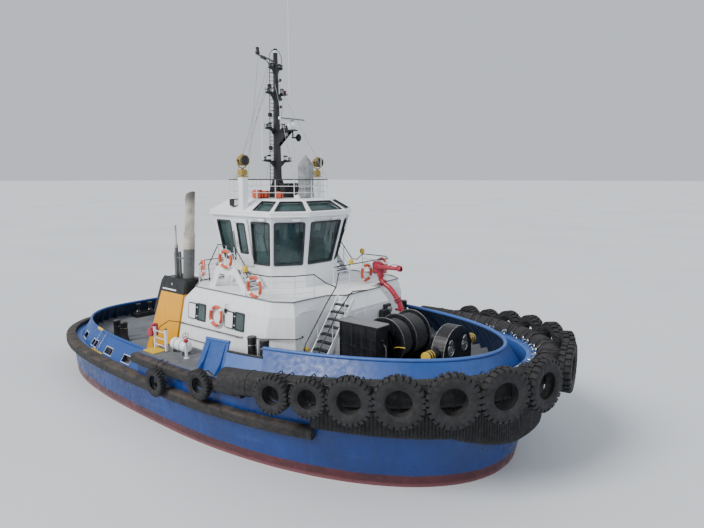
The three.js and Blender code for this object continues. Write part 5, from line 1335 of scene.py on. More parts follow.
# Winch drum with its rope, the frame and the motor housing.
WINCH_X, WINCH_Z = 7.05, 3.65
WINCH = Vector((WINCH_X, 0, WINCH_Z))
drum = Shape("winch", "bright", "rope", "grey")
AXIS = (0, 1, 0)
for y in (-1.1, -0.35, 0.55):
    drum.turned([(0.42, 0.0), (0.79, 0.0), (0.82, 0.004), (0.84, 0.016), (0.84, 0.03), (0.82, 0.041),
                 (0.79, 0.045), (0.42, 0.045)],
                (WINCH_X, y, WINCH_Z), AXIS, 64, "winch")
    drum.ring((WINCH_X, y + 0.0225, WINCH_Z), AXIS, 0.826, 0.014, 72, "grey", 8)
    # Ribs stand on the two flanges that the rope lies against.
    for angle in around(10) if y > -1.0 else ():
        rib = Vector((math.cos(angle), 0, math.sin(angle)))
        ring = [Vector((WINCH_X, y + shift, WINCH_Z)) + rib * reach
                for reach, shift in ((0.43, -0.02), (0.78, -0.004), (0.78, 0), (0.43, 0))]
        drum.slab(ring, Vector((-rib.z, 0, rib.x)) * 0.012, "winch")
drum.turned([(0.42, -1.1), (0.42, 0.595)], WINCH, AXIS, 48, "winch")
drum.turned([(0.18, -1.129), (0.18, 0.624)], WINCH, AXIS, 32, "winch")
drum.turned([(0.12, -1.21), (0.12, 0.705)], WINCH, AXIS, 32, "bright")


def winding(start, end, radius, rope):
    """One layer of rope, wound along the drum."""
    steps = 26
    count = int((end - start) / (rope * 2)) * steps
    line = []
    for k in range(count + 1):
        angle = math.tau * k / steps
        y = start + rope + (end - start - 2 * rope) * k / count
        line.append((WINCH_X + radius * math.cos(angle), y, WINCH_Z + radius * math.sin(angle)))
    drum.tube(line, rope, 6, "rope")


ROPE = 0.036
LAYERS = ((-1.05, -0.36, 0.65), (-0.30, 0.54, 0.69))
for y0, y1, r in LAYERS:
    winding(y0, y1, r + 0.01, ROPE)
for y0, y1, r in LAYERS:
    drum.turned([(0.42, y0), (r, y0), (r, y1), (0.42, y1)], WINCH, AXIS, 40, "rope")
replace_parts(drum.make("winch_drum_rope", body="winch_drum", slot="black_paint"), "winch_drum")

tackle = Shape("winch", "lid", "bright", "yellow", "grey")
tackle.block((5.80, -2.14, 4.395), (7.55, -1.50, 4.44), "lid", 0.012)
tackle.block((5.84, -2.12, 4.33), (7.52, -1.52, 4.395), "winch", 0.01)
for x in (6.1, 6.9, 7.4):
    for y in (-2.05, -1.6):
        tackle.turned([(0.03, 0.0), (0.03, 0.02), (0.012, 0.03)], (x, y, 4.44), sides=10, look="bright")
for x in (5.9, 6.45, 7.0, 7.45):
    tackle.block((x - 0.02, -2.118, 2.7), (x + 0.02, -2.098, 4.33), "winch", 0.006)
for z in (2.95, 3.6):
    tackle.block((5.87, -2.116, z - 0.02), (7.48, -2.098, z + 0.02), "winch", 0.006)
tackle.tube([(7.50, -1.75, 3.75), (7.58, -1.75, 3.70), (7.60, -1.74, 3.5), (7.56, -1.72, 3.3),
             (7.59, -1.70, 3.1), (7.51, -1.70, 2.95)],
            0.02, 8, "grey")
tackle.turned([(0.06, 0.0), (0.06, 0.03), (0.03, 0.05)], (7.5, -1.85, 3.9), (1, 0, 0), sides=16, look="winch")
tackle.tube([(7.56, -1.28, 3.55), (7.72, -1.24, 3.60), (8.0, -1.22, 3.62)], 0.016, 8, "yellow")
tackle.rod((7.5, -1.3, 3.50), (7.6, -1.27, 3.57), 0.03, 8, "winch")
# Bearing caps at the ends of the drum shaft, and the motor at its port end.
for y in (-1.165, 0.66):
    tackle.turned([(0.14, -0.06), (0.16, -0.05), (0.16, 0.05), (0.14, 0.06)], (WINCH_X, y, WINCH_Z), AXIS, 28,
                  "winch")
tackle.block((6.45, 0.78, 2.72), (7.65, 1.33, 3.45), "winch", 0.04)
tackle.turned([(0.24, 0.0), (0.26, 0.03), (0.26, 0.40), (0.2, 0.46)], (7.0, 0.86, 3.70), AXIS, 32, "winch")
tackle.block((6.8, 0.80, 3.40), (7.2, 1.08, 3.65), "winch", 0.02)
tackle.make("winch_fittings", slot="black_paint")

# Towing staple: a broad arch with a pale grey rim, two pear-shaped eyes lined in bright steel, and two horns.
staple = Shape("winch", "lid", "yellow", "bright")
STAPLE_X, STAPLE_HALF, STAPLE_THICK, SHOULDER = 9.05, 0.915, 0.245, 3.43
arch = [(STAPLE_HALF, 2.654), (STAPLE_HALF, 3.05)]
arch += [(STAPLE_HALF * math.cos(a), SHOULDER + STAPLE_HALF * math.sin(a))
         for a in (math.pi * k / 30 for k in range(31))]
arch += [(-STAPLE_HALF, 3.05), (-STAPLE_HALF, 2.654)]


def arch_line(x, scale):
    """The outline of the arch at x, drawn in by a scale."""
    line = []
    for y, z in arch:
        rise = z - SHOULDER
        line.append(Vector((x, y * scale, SHOULDER + (rise * scale if rise > 0 else rise))))
    return line


ARCH_BAND = ((-1, 0.985), (-0.96, 1.0), (0.96, 1.0), (1, 0.985))
band = [arch_line(STAPLE_X + shift * STAPLE_THICK, scale) for shift, scale in ARCH_BAND]
staple.skin(band, "winch", False, False, True)
for shift in (-1, 1):
    staple.tube(arch_line(STAPLE_X + shift * (STAPLE_THICK - 0.012), 0.988), 0.017, 8, "lid")


HORN_X, HORN_Z = 8.99, 3.56
EYE_Y = 0.45
# Each arc of an eye: height, radius, first angle, sweep and steps.
EYE_ARCS = ((3.62, 0.19, 124.2, 291.6, 30), (3.82, 0.115, -21.8, 223.6, 12))


def eye_path(x, side, inset):
    """The pear-shaped outline of an eye: a wide circle below and a narrow one above."""
    path = []
    for z, radius, first, sweep_angle, steps in EYE_ARCS:
        reach = radius - inset
        for k in range(steps + 1):
            a = math.radians(first + sweep_angle * k / steps)
            path.append(Vector((x, side * EYE_Y + reach * math.cos(a), z + reach * math.sin(a))))
    return path


for side in (-1, 1):
    staple.skin([eye_path(x, side, 0.012) for x in (8.802, 9.298)], "bright", True, False)
    for x in (8.806, 9.294):
        staple.tube(eye_path(x, side, -0.008), 0.02, 8, "bright", True)
    for y in (1.49, 1.36, 1.23):
        staple.turned([(0.16, -0.025), (0.181, -0.02), (0.181, 0.02), (0.16, 0.025)],
                      (HORN_X, side * y, HORN_Z), AXIS,
                      32, "yellow")
    staple.ring((HORN_X, side * 1.5, HORN_Z), AXIS, 0.13, 0.018, 32, "yellow", 8)
staple.make("towing_staple_trim", slot="black_paint")

# Bitts: posts with caps and a base. Life rafts: canisters in cradles.
RAFT_X, RAFT_Y = 0.05, 4.6


def bitts(name, x, y, z, height, node):
    shape = Shape("black", "bright")
    shape.block((x - 0.3, y - 0.22, z), (x + 0.95, y + 0.22, z + 0.04), "black", 0.012)
    for px in (x, x + 0.65):
        shape.turned([(0.20, 0.04), (0.165, 0.09), (0.158, height - 0.16), (0.165, height - 0.12),
                      (0.165, height - 0.02), (0.15, height),
                      (0.0, height)], (px, y, z), sides=36, look="black")
        shape.turned([(0.1595, height - 0.30), (0.1635, height - 0.30), (0.1635, height - 0.27),
                      (0.1595, height - 0.27)], (px, y, z),
                     sides=36, look="bright")
        for angle in around(4, 0.5):
            out = Vector((math.cos(angle), math.sin(angle), 0))
            foot = Vector((px, y, z + 0.04))
            ring = [foot + out * 0.15, foot + out * 0.215, foot + out * 0.155 + lift(0.2)]
            shape.slab(ring, beside(out) * 0.01, "black")
    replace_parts(shape.make(name, slot="black_paint"), node)


for side, name in SIDES:
    bitts(f"bitts_{name}_posts", 3.57, side * 4.08, RAISED_DECK, 1.19, f"bitts_{name}")
    bitts(f"stern_bitts_{name}_posts", -7.3, side * 3.3, MAIN_DECK, 0.90, f"stern_bitts_{name}")
    raft = Shape("white", "black", "grey")
    at = Vector((RAFT_X, side * RAFT_Y, RAISED_DECK + 0.33))
    profile = [(0.05, -0.50), (0.13, -0.49), (0.19, -0.46), (0.222, -0.40)]
    for k in range(7):
        y = -0.36 + 0.12 * k
        profile += [(0.222, y - 0.035), (0.23, y - 0.025), (0.23, y + 0.025), (0.222, y + 0.035)]
    profile += [(0.222, 0.40), (0.19, 0.46), (0.13, 0.49), (0.05, 0.50)]
    raft.turned(profile, at, (1, 0, 0), 36, "white")
    for x in (-0.18, 0.18):
        raft.ring(at + Vector((x, 0, 0)), (1, 0, 0), 0.229, 0.008, 36, "black", 6)
    for x in (-0.29, 0.29):
        ring = [(-0.20, 0.0), (0.20, 0.0), (0.20, 0.12), (0.15, 0.20), (0.0, 0.105), (-0.15, 0.20),
                (-0.20, 0.12)]
        raft.slab([(RAFT_X + x, side * RAFT_Y + y, RAISED_DECK + z) for y, z in ring], Vector((0.03, 0, 0)),
                  "grey")
    raft.block((RAFT_X - 0.34, side * RAFT_Y - 0.21, RAISED_DECK),
               (RAFT_X + 0.34, side * RAFT_Y + 0.21, RAISED_DECK + 0.03),
               "grey", 0.006)
    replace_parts(raft.make(f"life_raft_{name}_canister", slot="raft_shell"), f"life_raft_{name}")


def smooth(points, steps):
    """A smooth curve through points, up to but without the last one."""
    curve = []
    last = len(points) - 1
    for i in range(last):
        p0, p1, p2, p3 = (Vector(points[max(0, min(last, i + d))]) for d in (-1, 0, 1, 2))
        bend = 2 * p0 - 5 * p1 + 4 * p2 - p3
        twist = 3 * p1 - p0 - 3 * p2 + p3
        for k in range(steps):
            t = k / steps
            curve.append(0.5 * (2 * p1 + (p2 - p0) * t + bend * t * t + twist * t ** 3))
    return curve


# Fire monitor: riser with bends and flanges, turning head, and a tapered barrel.
MONITOR_X, MONITOR_Y = 4.7, 1.76
MONITOR_SEAT = Vector((MONITOR_X, MONITOR_Y, 5.331))
BARREL_AT = Vector((MONITOR_X, 1.545, 5.72))
riser = Shape("red", "bright")
riser.turned([(0.23, 0.0), (0.23, 0.05), (0.13, 0.06), (0.12, 0.4), (0.12, 1.26)],
             (5.78, MONITOR_Y, RAISED_DECK), sides=28, look="red")
bends = [(5.78, 3.85), (5.76, 4.0), (5.6, 4.38), (5.2, 4.83), (4.85, 5.03), (4.715, 5.17), (4.70, 5.30)]
curve = [(point.x, MONITOR_Y, point.y) for point in smooth(bends, 6)]
curve.append((MONITOR_X, MONITOR_Y, 5.30))
riser.tube(curve, 0.105, 22, "red")
for i in (1, 12, 13, 24, 25):
    a = Vector(curve[i])
    along = (Vector(curve[i + 1]) - a).normalized()
    riser.turned([(0.10, -0.02), (0.155, -0.02), (0.155, 0.015), (0.10, 0.015)], a, along, 28, "red")
    for bolt in circle(0.132, 8):
        spot = a + aim(along) @ bolt
        riser.rod(spot - along * 0.03, spot + along * 0.028, 0.01, 6, "bright")
riser.turned([(0.105, 0.0), (0.15, 0.0), (0.15, 0.035), (0.11, 0.035)], (MONITOR_X, MONITOR_Y, 5.295),
             sides=28, look="red")
riser.block((5.46, 1.70, 4.0), (5.74, 1.82, 4.08), "red", 0.01)
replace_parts(riser.make("monitor_riser_pipe", slot="fire_red"), "monitor_riser")
head = Shape("red", "bright")
head.turned([(0.15, 0.0), (0.15, 0.03), (0.12, 0.045), (0.12, 0.14)], MONITOR_SEAT, sides=28, look="red")
head.matrix = Matrix.Translation(MONITOR_SEAT)
ring = [(-0.37, 0.12), (-0.33, 0.09), (0.09, 0.09), (0.13, 0.14), (0.13, 0.40), (0.07, 0.50), (-0.05, 0.56),
        (-0.30, 0.56), (-0.37, 0.48)]
HEAD_MIDDLE = 0.325
head.skin([[(x * s, y, HEAD_MIDDLE + (z - HEAD_MIDDLE) * s) for x, z in ring]
           for y, s in ((-0.09, 0.95), (-0.08, 1), (0.08, 1), (0.09, 0.95))], "red", False)
head.turned([(0.035, 0), (0.035, 0.012), (0.02, 0.02)], (-0.22, -0.09, 0.43), (0, -1, 0), 12, "bright")
head.turned([(0.02, 0), (0.02, 0.01), (0.01, 0.015)], (-0.25, -0.09, 0.2), (0, -1, 0), 10, "bright")
head.matrix = Matrix.Identity(4)
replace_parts(head.make("monitor_head", body="monitor_body", slot="fire_red"), "monitor_body")
gun = Shape("red", "black")
gun.turned([(0.06, -0.12), (0.09, -0.11), (0.095, -0.05), (0.095, 0.28), (0.10, 0.285), (0.10, 0.31),
            (0.088, 0.32), (0.086, 0.5),
            (0.07, 1.0), (0.09, 1.01), (0.105, 1.04), (0.105, 1.14), (0.098, 1.16), (0.08, 1.16),
            (0.06, 1.05)],
           BARREL_AT, (1, 0, 0), 28, "red")
gun.turned([(0.08, 0.0), (0.08, 0.124)], BARREL_AT, (0, 1, 0), 24, "red")
gun.tube([(5.3, 1.545, 5.80), (5.45, 1.545, 5.86), (5.62, 1.545, 5.87), (5.9, 1.545, 5.83)], 0.014, 8, "red")
gun.block((5.66, 1.50, 5.79), (5.76, 1.59, 5.845), "red", 0.012)
gun.block((4.80, 1.53, 5.80), (5.05, 1.56, 5.84), "black", 0.01)
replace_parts(gun.make("monitor_gun", body="monitor_barrel", slot="fire_red"), "monitor_barrel")

# Canvas cover over the compass stand: a draped sheet, gathered at the waist and loose at the foot.
random.seed(7)
COMPASS = Vector((1.7, 0.55, ROOF_TOP))
cover = Shape("canvas")
AROUND = 96
folds = [(random.uniform(0.5, 1.0), random.randint(7, 15), random.uniform(0, math.tau)) for _ in range(4)]
HEM = 0.035
rings = []
for k in range(41):
    t = k / 40
    height = HEM + (1.74 - HEM) * t
    if t < 0.70:
        reach = 0.350 - 0.012 * math.sin(t * 5)
    else:
        reach = 0.345 * (1 - ((t - 0.70) / 0.30) ** 1.7) + 0.012
    waist = math.exp(-((t - 0.20) / 0.09) ** 2)
    reach -= 0.045 * waist
    depth = 0.018 * (1 - t) ** 1.5 + 0.014 * waist + 0.003
    ring = []
    for i in range(AROUND):
        angle = math.tau * i / AROUND
        fold = sum(size * math.sin(count * angle + phase + 2.2 * t) for size, count, phase in folds) / 3
        squash = 1.0 - 0.12 * abs(math.sin(angle + 0.5)) * t
        r = min(0.372, reach * squash + depth * fold)
        lean = 0.03 * max(0.0, t - 0.6)
        ring.append(COMPASS + Vector((max(0.004, r) * math.cos(angle) - lean,
                                      max(0.004, r) * math.sin(angle) + lean, height)))
    rings.append(ring)
cover.skin(rings, "canvas", True, False)
cover_piece = cover.make("compass_canvas_cover", slot="cover_canvas", angle=80)
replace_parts(cover_piece, "covered_compass")
stand = Shape("white", "black")
stand.turned([(0.20, 0.0), (0.20, 0.03), (0.12, 0.06), (0.11, 0.7), (0.17, 0.8), (0.24, 0.95), (0.26, 1.2),
              (0.2, 1.42), (0.0, 1.5)],
             COMPASS, sides=28, look="white")
cord_ring = []
for i in range(64):
    angle = math.tau * i / 64
    cord_ring.append(COMPASS + Vector((0.338 * math.cos(angle), 0.338 * math.sin(angle),
                                       0.375 + 0.006 * math.sin(3 * angle))))
stand.tube(cord_ring, 0.009, 8, "black", True)
stand.make("compass_stand")

# Helm chair: a pedestal and arms, with a padded seat and back.
FLOOR = 5.7004
chair = Shape("black", "bright")
chair.turned([(0.26, 0.0), (0.26, 0.02), (0.22, 0.035), (0.06, 0.06), (0.06, 0.34), (0.05, 0.35),
              (0.05, 0.54)], (0.8, 0, FLOOR),
             sides=32, look="bright")
chair.block((0.56, -0.2, FLOOR + 0.53), (1.02, 0.2, FLOOR + 0.57), "black", 0.01)
for sign in (-1, 1):
    chair.tube([(0.52, sign * 0.27, FLOOR + 0.58), (0.50, sign * 0.285, FLOOR + 0.80),
                (0.55, sign * 0.285, FLOOR + 0.86),
                (0.9, sign * 0.285, FLOOR + 0.86)], 0.015, 8, "bright")
    chair.block((0.56, sign * 0.27 - 0.028, FLOOR + 0.85), (0.92, sign * 0.27 + 0.028, FLOOR + 0.885),
                "black", 0.012)
chair.tube([(0.5, 0, FLOOR + 0.6), (0.43, 0, FLOOR + 0.72), (0.38, 0, FLOOR + 0.95)], 0.03, 10, "black")
chair.make("helm_chair_frame", slot="chair_vinyl")


def cushion(name, centre, size, tilt, channels):
    """A crowned pad with pulled-in sides, sewn across in channels, and a piped edge."""
    a, b, c = (s / 2 for s in size)
    grid = 30
    top, bottom = [], []
    pad = Shape("vinyl")
    place = Matrix.Translation(Vector(centre)) @ Matrix.Rotation(tilt, 4, "Y")
    for sign, rows in ((1, top), (-1, bottom)):
        for i in range(grid + 1):
            row = []
            for j in range(grid + 1):
                u, v = -1 + 2 * i / grid, -1 + 2 * j / grid
                pinch = 1 - 0.05 * (1 - abs(u) ** 3) * abs(v) ** 6 - 0.05 * (1 - abs(v) ** 3) * abs(u) ** 6
                crown = max(0.0, (1 - abs(u) ** 5) * (1 - abs(v) ** 5)) ** 0.42
                seam = 0.0
                if sign > 0:
                    off_seam = abs((u * channels / 2) % 1 - 0.5) - 0.5
                    seam = 0.10 * math.exp(-(off_seam / 0.10) ** 2) * (1 - abs(v) ** 4)
                row.append(place @ Vector((a * u * pinch, b * v * pinch, sign * c * (crown - seam))))
            rows.append(row)
    for rows, flip in ((top, False), (bottom, True)):
        points = [p for row in rows for p in row]
        faces = []
        n = grid + 1
        for i in range(grid):
            for j in range(grid):
                face = (i * n + j, (i + 1) * n + j, (i + 1) * n + j + 1, i * n + j + 1)
                faces.append(face[::-1] if flip else face)
        pad.add(points, faces, "vinyl")
    edge = [(i, 0) for i in range(grid)] + [(grid, j) for j in range(grid)]
    edge += [(grid - i, grid) for i in range(grid)] + [(0, grid - j) for j in range(grid)]
    pad.tube([top[i][j] for i, j in edge], 0.006, 6, "vinyl", True)
    piece = pad.make(name, slot="chair_vinyl", angle=60)
    return piece


seat = cushion("helm_seat_pad", (0.8, 0, FLOOR + 0.615), (0.58, 0.52, 0.12), 0.0, 4)
back = cushion("helm_back_pad", (0.415, 0, FLOOR + 1.0), (0.66, 0.50, 0.11), math.radians(-97), 5)
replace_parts(seat, "helm_chair")

# Console fittings: screens on stalks, and levers.
console = Shape("black", "lens")
for y in (-0.62, -0.2, 0.22, 0.64):
    console.matrix = Matrix.Translation((2.14, y, FLOOR + 1.25)) @ Matrix.Rotation(math.radians(12), 4, "Y")
    console.block((-0.02, -0.18, -0.14), (0.03, 0.18, 0.14), "black", 0.01)
    console.block((-0.026, -0.16, -0.12), (-0.02, 0.16, 0.12), "lens", 0.002)
    console.matrix = Matrix.Identity(4)
    console.rod((2.18, y, FLOOR + 1.0), (2.16, y, FLOOR + 1.15), 0.02, 8, "black")
for y in (-0.32, 0.32):
    console.turned([(0.06, 0.0), (0.06, 0.03), (0.02, 0.05), (0.015, 0.11), (0.035, 0.13), (0.0, 0.15)],
                   (1.86, y, FLOOR + 0.86),
                   sides=18, look="black")
console.make("console_fittings", slot="console_grey")

# Deck edge outside the after bulwark, in the lighter blue that is painted sky light, with a bolted margin, and
# the gear on the decks.
GATE_X, GATE_Y = (-1.32, -0.55), 4.86
HYDRANT_Y, VALVE_Y = 4.78, 4.84
deck_gear = Shape("bulwark_painted_light", "bright", "yellow", "red", "white", "black", "grey", "winch", "rail_white")
SIDE_EDGE = Outline(5.56, -11.95, 11.4, 3.0, 2.2, MAIN_DECK + 0.007)
for sign in (-1, 1):
    rings = []
    start = sign * abs(SIDE_EDGE.turn_at(RAISED_START - 0.03))
    foot_start = sign * abs(AFT_FOOT.turn_at(RAISED_START - 0.03))
    for k in range(121):
        t = k / 120
        outer = SIDE_EDGE.at(start + (sign * 179.7 - start) * t)
        inner = AFT_FOOT.at(foot_start + (sign * 179.7 - foot_start) * t)
        rings.append([(outer.x, outer.y, MAIN_DECK + 0.007), (outer.x, outer.y, MAIN_DECK + 0.012),
                      (inner.x, inner.y, MAIN_DECK + 0.012), (inner.x, inner.y, MAIN_DECK + 0.007)])
    deck_gear.skin(rings, "bulwark_painted_light", False)
    for k in range(70):
        t = (k + 0.5) / 70
        outer = SIDE_EDGE.at(start + (sign * 179.7 - start) * t)
        deck_gear.turned([(0.016, 0.0), (0.016, 0.012), (0.0, 0.016)],
                         (outer.x * 0.997, outer.y * 0.985, MAIN_DECK + 0.010),
                         sides=6, look="black")


def grating(x0, x1, y0, y1, z):
    for k in range(9):
        y = y0 + (y1 - y0) * k / 8
        deck_gear.block((x0, y - 0.012, z), (x1, y + 0.012, z + 0.04), "yellow", 0.003)
    for k in range(7):
        x = x0 + (x1 - x0) * k / 6
        deck_gear.block((x - 0.012, y0, z + 0.002), (x + 0.012, y1, z + 0.036), "yellow", 0.003)


for sign in (-1, 1):
    grating(-6.55, -5.35, *sorted((sign * 4.93, sign * 5.38)), MAIN_DECK + 0.012)
    grating(-1.35, -0.62, *sorted((sign * 4.85, sign * 5.35)), RAISED_DECK + 0.006)
    # Gate posts with bars, the hydrant by them, and a valve on a stand pipe.
    for x in GATE_X:
        for half, low, high, look, edge in (
            (0.045, 0.0, 0.88, "rail_white", 0.01), (0.08, 0.0, 0.015, "black", 0.004),
            (0.05, 0.87, 0.90, "black", 0.006),
        ):
            deck_gear.block((x - half, sign * GATE_Y - half, RAISED_DECK + low),
                            (x + half, sign * GATE_Y + half, RAISED_DECK + high), look, edge)
    for rise in (0.18, 0.45, 0.72):
        ends = [(x, sign * GATE_Y, RAISED_DECK + rise) for x in (-1.30, -0.57)]
        deck_gear.rod(ends[0], ends[1], 0.018, 8, "rail_white")
    deck_gear.block((-1.56, sign * HYDRANT_Y - 0.13, RAISED_DECK + 0.45),
                    (-1.365, sign * HYDRANT_Y + 0.13, RAISED_DECK + 0.95), "red", 0.03)
    deck_gear.turned([(0.13, 0), (0.16, 0.02), (0.16, 0.08), (0.12, 0.1)],
                     (-1.46, sign * 4.92, RAISED_DECK + 0.62), (0, sign, 0), 24, "red")
    deck_gear.rod((-1.46, sign * HYDRANT_Y, RAISED_DECK + 0.5), (-1.40, sign * HYDRANT_Y, RAISED_DECK), 0.035,
                  10, "red")
    hose = [(-1.46, 4.76, 3.12), (-1.62, 4.74, 3.0), (-1.72, 4.70, 2.7), (-1.80, 4.66, 2.2),
            (-1.84, 4.62, 1.63)]
    deck_gear.tube(mirrored(hose, sign), 0.028, 10, "black")
    deck_gear.tube([(0.74, sign * VALVE_Y, RAISED_DECK), (0.74, sign * VALVE_Y, 3.3),
                    (0.78, sign * 4.86, 3.5)], [0.055, 0.05, 0.03], 14, "rail_white")
    deck_gear.turned([(0.10, 0), (0.10, 0.02), (0.06, 0.03)], (0.74, sign * VALVE_Y, RAISED_DECK), sides=20,
                     look="rail_white")
    deck_gear.turned([(0.07, -0.02), (0.09, 0.0), (0.09, 0.06), (0.05, 0.10)], (0.74, sign * VALVE_Y, 3.28),
                     sides=20, look="red")
    wheel_at, wheel_axis = Vector((0.80, sign * 4.88, 3.52)), (0.3, sign * 0.9, 0.35)
    deck_gear.ring(wheel_at, wheel_axis, 0.12, 0.014, 28, "red", 8)
    for spoke in circle(0.12, 3):
        deck_gear.rod(wheel_at, wheel_at + aim(wheel_axis) @ spoke, 0.010, 6, "red")
    # Chains over the after bulwark.
    for x in (-6.45, -5.85):
        turn = AFT_FOOT.turn_at(x, sign)
        rim = AFT_TOP.at(turn) + lift(0.05) + AFT_FOOT.out(turn) * 0.05
        foot = AFT_FOOT.at(turn) + AFT_FOOT.out(turn) * 0.1 + lift(0.02)
        down = (foot - rim).normalized()
        for k in range(12):
            at = rim.lerp(foot, (k + 0.5) / 12)
            across = AFT_FOOT.out(turn) if k % 2 else Vector((1, 0, 0))
            link = [at + down * (0.042 * math.cos(a)) + across * (0.019 * math.sin(a)) for a in around(12)]
            deck_gear.tube(link, 0.0075, 6, "bright", True)
    line = [AFT_TOP.at(turn) - AFT_FOOT.out(turn) * PLATE / 2 + lift(0.035)
            for turn in turns(AFT_FOOT.turn_at(-6.5, sign), AFT_FOOT.turn_at(-7.2, sign), 8)]
    deck_gear.tube(line, 0.064, 14, "yellow")
# After deck: a hatch, two mushroom vents, and a roller fairlead on the stern rail.
deck_gear.block((-6.4, -0.5, MAIN_DECK), (-5.4, 0.5, MAIN_DECK + 0.3), "grey", 0.03)
deck_gear.block((-6.45, -0.55, MAIN_DECK + 0.3), (-5.35, 0.55, MAIN_DECK + 0.36), "grey", 0.02)
for y in (-0.35, 0.35):
    deck_gear.rod((-5.32, y - 0.08, MAIN_DECK + 0.33), (-5.32, y + 0.08, MAIN_DECK + 0.33), 0.02, 8, "bright")
deck_gear.ring((-5.9, 0, MAIN_DECK + 0.40), (0, 0, 1), 0.12, 0.012, 28, "bright", 8)
deck_gear.rod((-5.9, 0, MAIN_DECK + 0.36), (-5.9, 0, MAIN_DECK + 0.41), 0.02, 8, "bright")
for y in (-1.3, 1.3):
    deck_gear.turned([(0.12, 0.0), (0.12, 0.42), (0.24, 0.44), (0.25, 0.52), (0.16, 0.62), (0, 0.64)],
                     (-4.9, y, MAIN_DECK), sides=24,
                     look="white")
for y in (-0.35, 0.35):
    deck_gear.turned([(0.14, 0.0), (0.16, 0.03), (0.09, 0.12), (0.08, 0.34), (0.13, 0.42), (0.13, 0.46),
                      (0.0, 0.47)],
                     (-10.55, y, MAIN_DECK + 0.25), sides=24, look="winch")
deck_gear.block((-10.85, -0.65, MAIN_DECK), (-10.25, 0.65, MAIN_DECK + 0.25), "winch", 0.02)
# Foredeck: pad eyes on the ledge, and a bollard cleat at the bow.
for sign in (-1, 1):
    for turn in (12, 30, 47, 62):
        at = FORE_FOOT.at(sign * turn)
        inward = FORE_FOOT.out(sign * turn) * -0.75
        seat = at + inward
        deck_gear.turned([(0.09, 0.0), (0.09, 0.015), (0.05, 0.03)], seat, sides=18, look="winch")
        deck_gear.ring(seat + lift(0.085), FORE_FOOT.out(sign * turn), 0.055, 0.014, 20, "winch", 8)
deck_gear.block((10.15, -0.42, RAISED_DECK), (10.55, 0.42, RAISED_DECK + 0.05), "winch", 0.012)
for y in (-0.26, 0.26):
    deck_gear.turned([(0.13, 0.05), (0.11, 0.1), (0.11, 0.42), (0.13, 0.46), (0.12, 0.5), (0, 0.51)],
                     (10.35, y, RAISED_DECK), sides=28,
                     look="winch")
deck_gear.make("deck_gear")

# Stair treads with dark grip plates, and grip strips on the landings.
treads = Shape("black")
STAIR_FOOT, STAIR_HEAD, STEPS = -3.10, -1.28, 10
for k in range(1, STEPS):
    y = STAIR_FOOT + (STAIR_HEAD - STAIR_FOOT) * k / STEPS
    z = RAISED_DECK + (BRIDGE_DECK - RAISED_DECK) * k / STEPS
    treads.block((5.09, y - 0.065, z + 0.0005), (5.79, y + 0.125, z + 0.014), "black", 0.004)
    treads.block((5.09, y - 0.072, z - 0.034), (5.79, y - 0.0605, z + 0.014), "black", 0.003)
for sign in (-1, 1):
    treads.block((0.24, sign * 2.12, 5.6005), (1.32, sign * 2.90, 5.612), "black", 0.004)
    for k in range(3):
        x = 1.34 + 0.18 * (k + 1)
        z = 5.6 - 0.15 * (k + 1)
        treads.block((x - 0.10, sign * 2.12, z + 0.0005), (x + 0.10, sign * 2.92, z + 0.012), "black", 0.003)
treads.make("tread_plates")

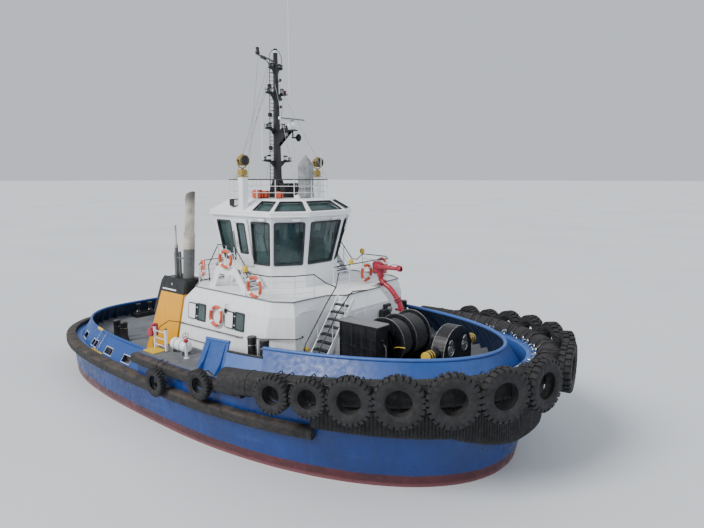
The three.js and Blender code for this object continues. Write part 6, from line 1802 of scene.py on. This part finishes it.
# Doors: handles, dogs and a window gasket on each. The wheelhouse doors lean out as they rise.
DOOR_RISE, DOOR_LEAN = 1.98, 0.32
DOOR_FOOT = (1.252, 1.9, 5.8)
PANE_FORE, PANE_AFT, PANE_LOW, PANE_HIGH = 0.192, 0.652, 0.52, 1.71
for side, name in SIDES:
    door = Shape("gasket", "bright", "glass")
    normal = Vector((0, side * DOOR_RISE, -DOOR_LEAN)).normalized()
    up = Vector((0, side * DOOR_LEAN, DOOR_RISE)).normalized()
    foot = Vector((DOOR_FOOT[0], side * DOOR_FOOT[1], DOOR_FOOT[2])) + normal * 0.060

    def spot(back, rise, out=0.0):
        return foot - Vector((back, 0, 0)) + up * rise + normal * out

    quad = [spot(PANE_FORE, PANE_LOW), spot(PANE_AFT, PANE_LOW), spot(PANE_AFT, PANE_HIGH),
            spot(PANE_FORE, PANE_HIGH)]
    quad = quad[::-1] if side < 0 else quad
    gasket(door, quad, normal, wide=0.035, inner=0.025, deep=0.055, proud=0.012, radius=0.08)
    pane = [p - normal * 0.028 for p in quad]
    door.skin([pane, [p - normal * 0.008 for p in pane]], "glass", False)
    for rise in (0.3, 0.95, 1.78):
        door.tube([spot(0.78, rise, 0.0), spot(0.78, rise, 0.035), spot(0.70, rise - 0.02, 0.045)], 0.012, 8,
                  "bright")
    door.tube([spot(0.74, 0.75, 0.0), spot(0.74, 0.75, 0.05), spot(0.74, 1.02, 0.05), spot(0.74, 1.02, 0.0)],
              0.012, 8, "bright")
    door.make(f"wheelhouse_door_{name}_fittings", body=f"wheelhouse_door_{name}")
after = Shape("bright", "white")
for z in (2.4, 3.55):
    for y in (-1.32, -0.72):
        after.tube([(-3.96, y, z), (-4.01, y, z), (-4.015, y, z - 0.16)], 0.013, 8, "bright")
after.skin([[(x, y, z) for y, z in ((-1.33, 2.12), (-0.70, 2.12), (-0.70, 3.78), (-1.33, 3.78))]
            for x in (-3.963, -3.958)], "white", False)
after.ring((-3.972, -1.01, 2.9), (1, 0, 0), 0.12, 0.012, 30, "bright", 8)
after.make("deckhouse_door_fittings", body="deckhouse_door")


# Floor at the waterline, sky and lights.
floor_look = Look("floor", 0.55)
floor_look.colour(floor_look.mix(floor_look.noise(0.05, 4), (0.60, 0.63, 0.66), (0.66, 0.69, 0.72)))
floor_mesh = bpy.data.meshes.new("floor")
REACH = 1500.0
floor_mesh.from_pydata([(-REACH, -REACH, 0), (REACH, -REACH, 0), (REACH, REACH, 0), (-REACH, REACH, 0)], [],
                       [(0, 1, 2, 3)])
floor_mesh.materials.append(floor_look.material)
floor = bpy.data.objects.new("floor", floor_mesh)
scene.collection.objects.link(floor)

world = bpy.data.worlds.new("studio")
world.use_nodes = True
world.node_tree.nodes["Background"].inputs["Color"].default_value = (0.82, 0.86, 0.92, 1.0)
world.node_tree.nodes["Background"].inputs["Strength"].default_value = 0.8
scene.world = world


def sun(name, towards, strength, angle, colour):
    data = bpy.data.lights.new(name, "SUN")
    data.energy = strength
    data.angle = math.radians(angle)
    data.color = colour
    lamp = bpy.data.objects.new(name, data)
    lamp.rotation_euler = Vector(towards).to_track_quat("-Z", "Y").to_euler()
    scene.collection.objects.link(lamp)


sun("key", (0.25, 0.8, -0.75), 3.4, 25, (1.0, 0.97, 0.93))
sun("fill", (-0.8, -0.1, -0.6), 0.7, 60, (0.85, 0.92, 1.0))
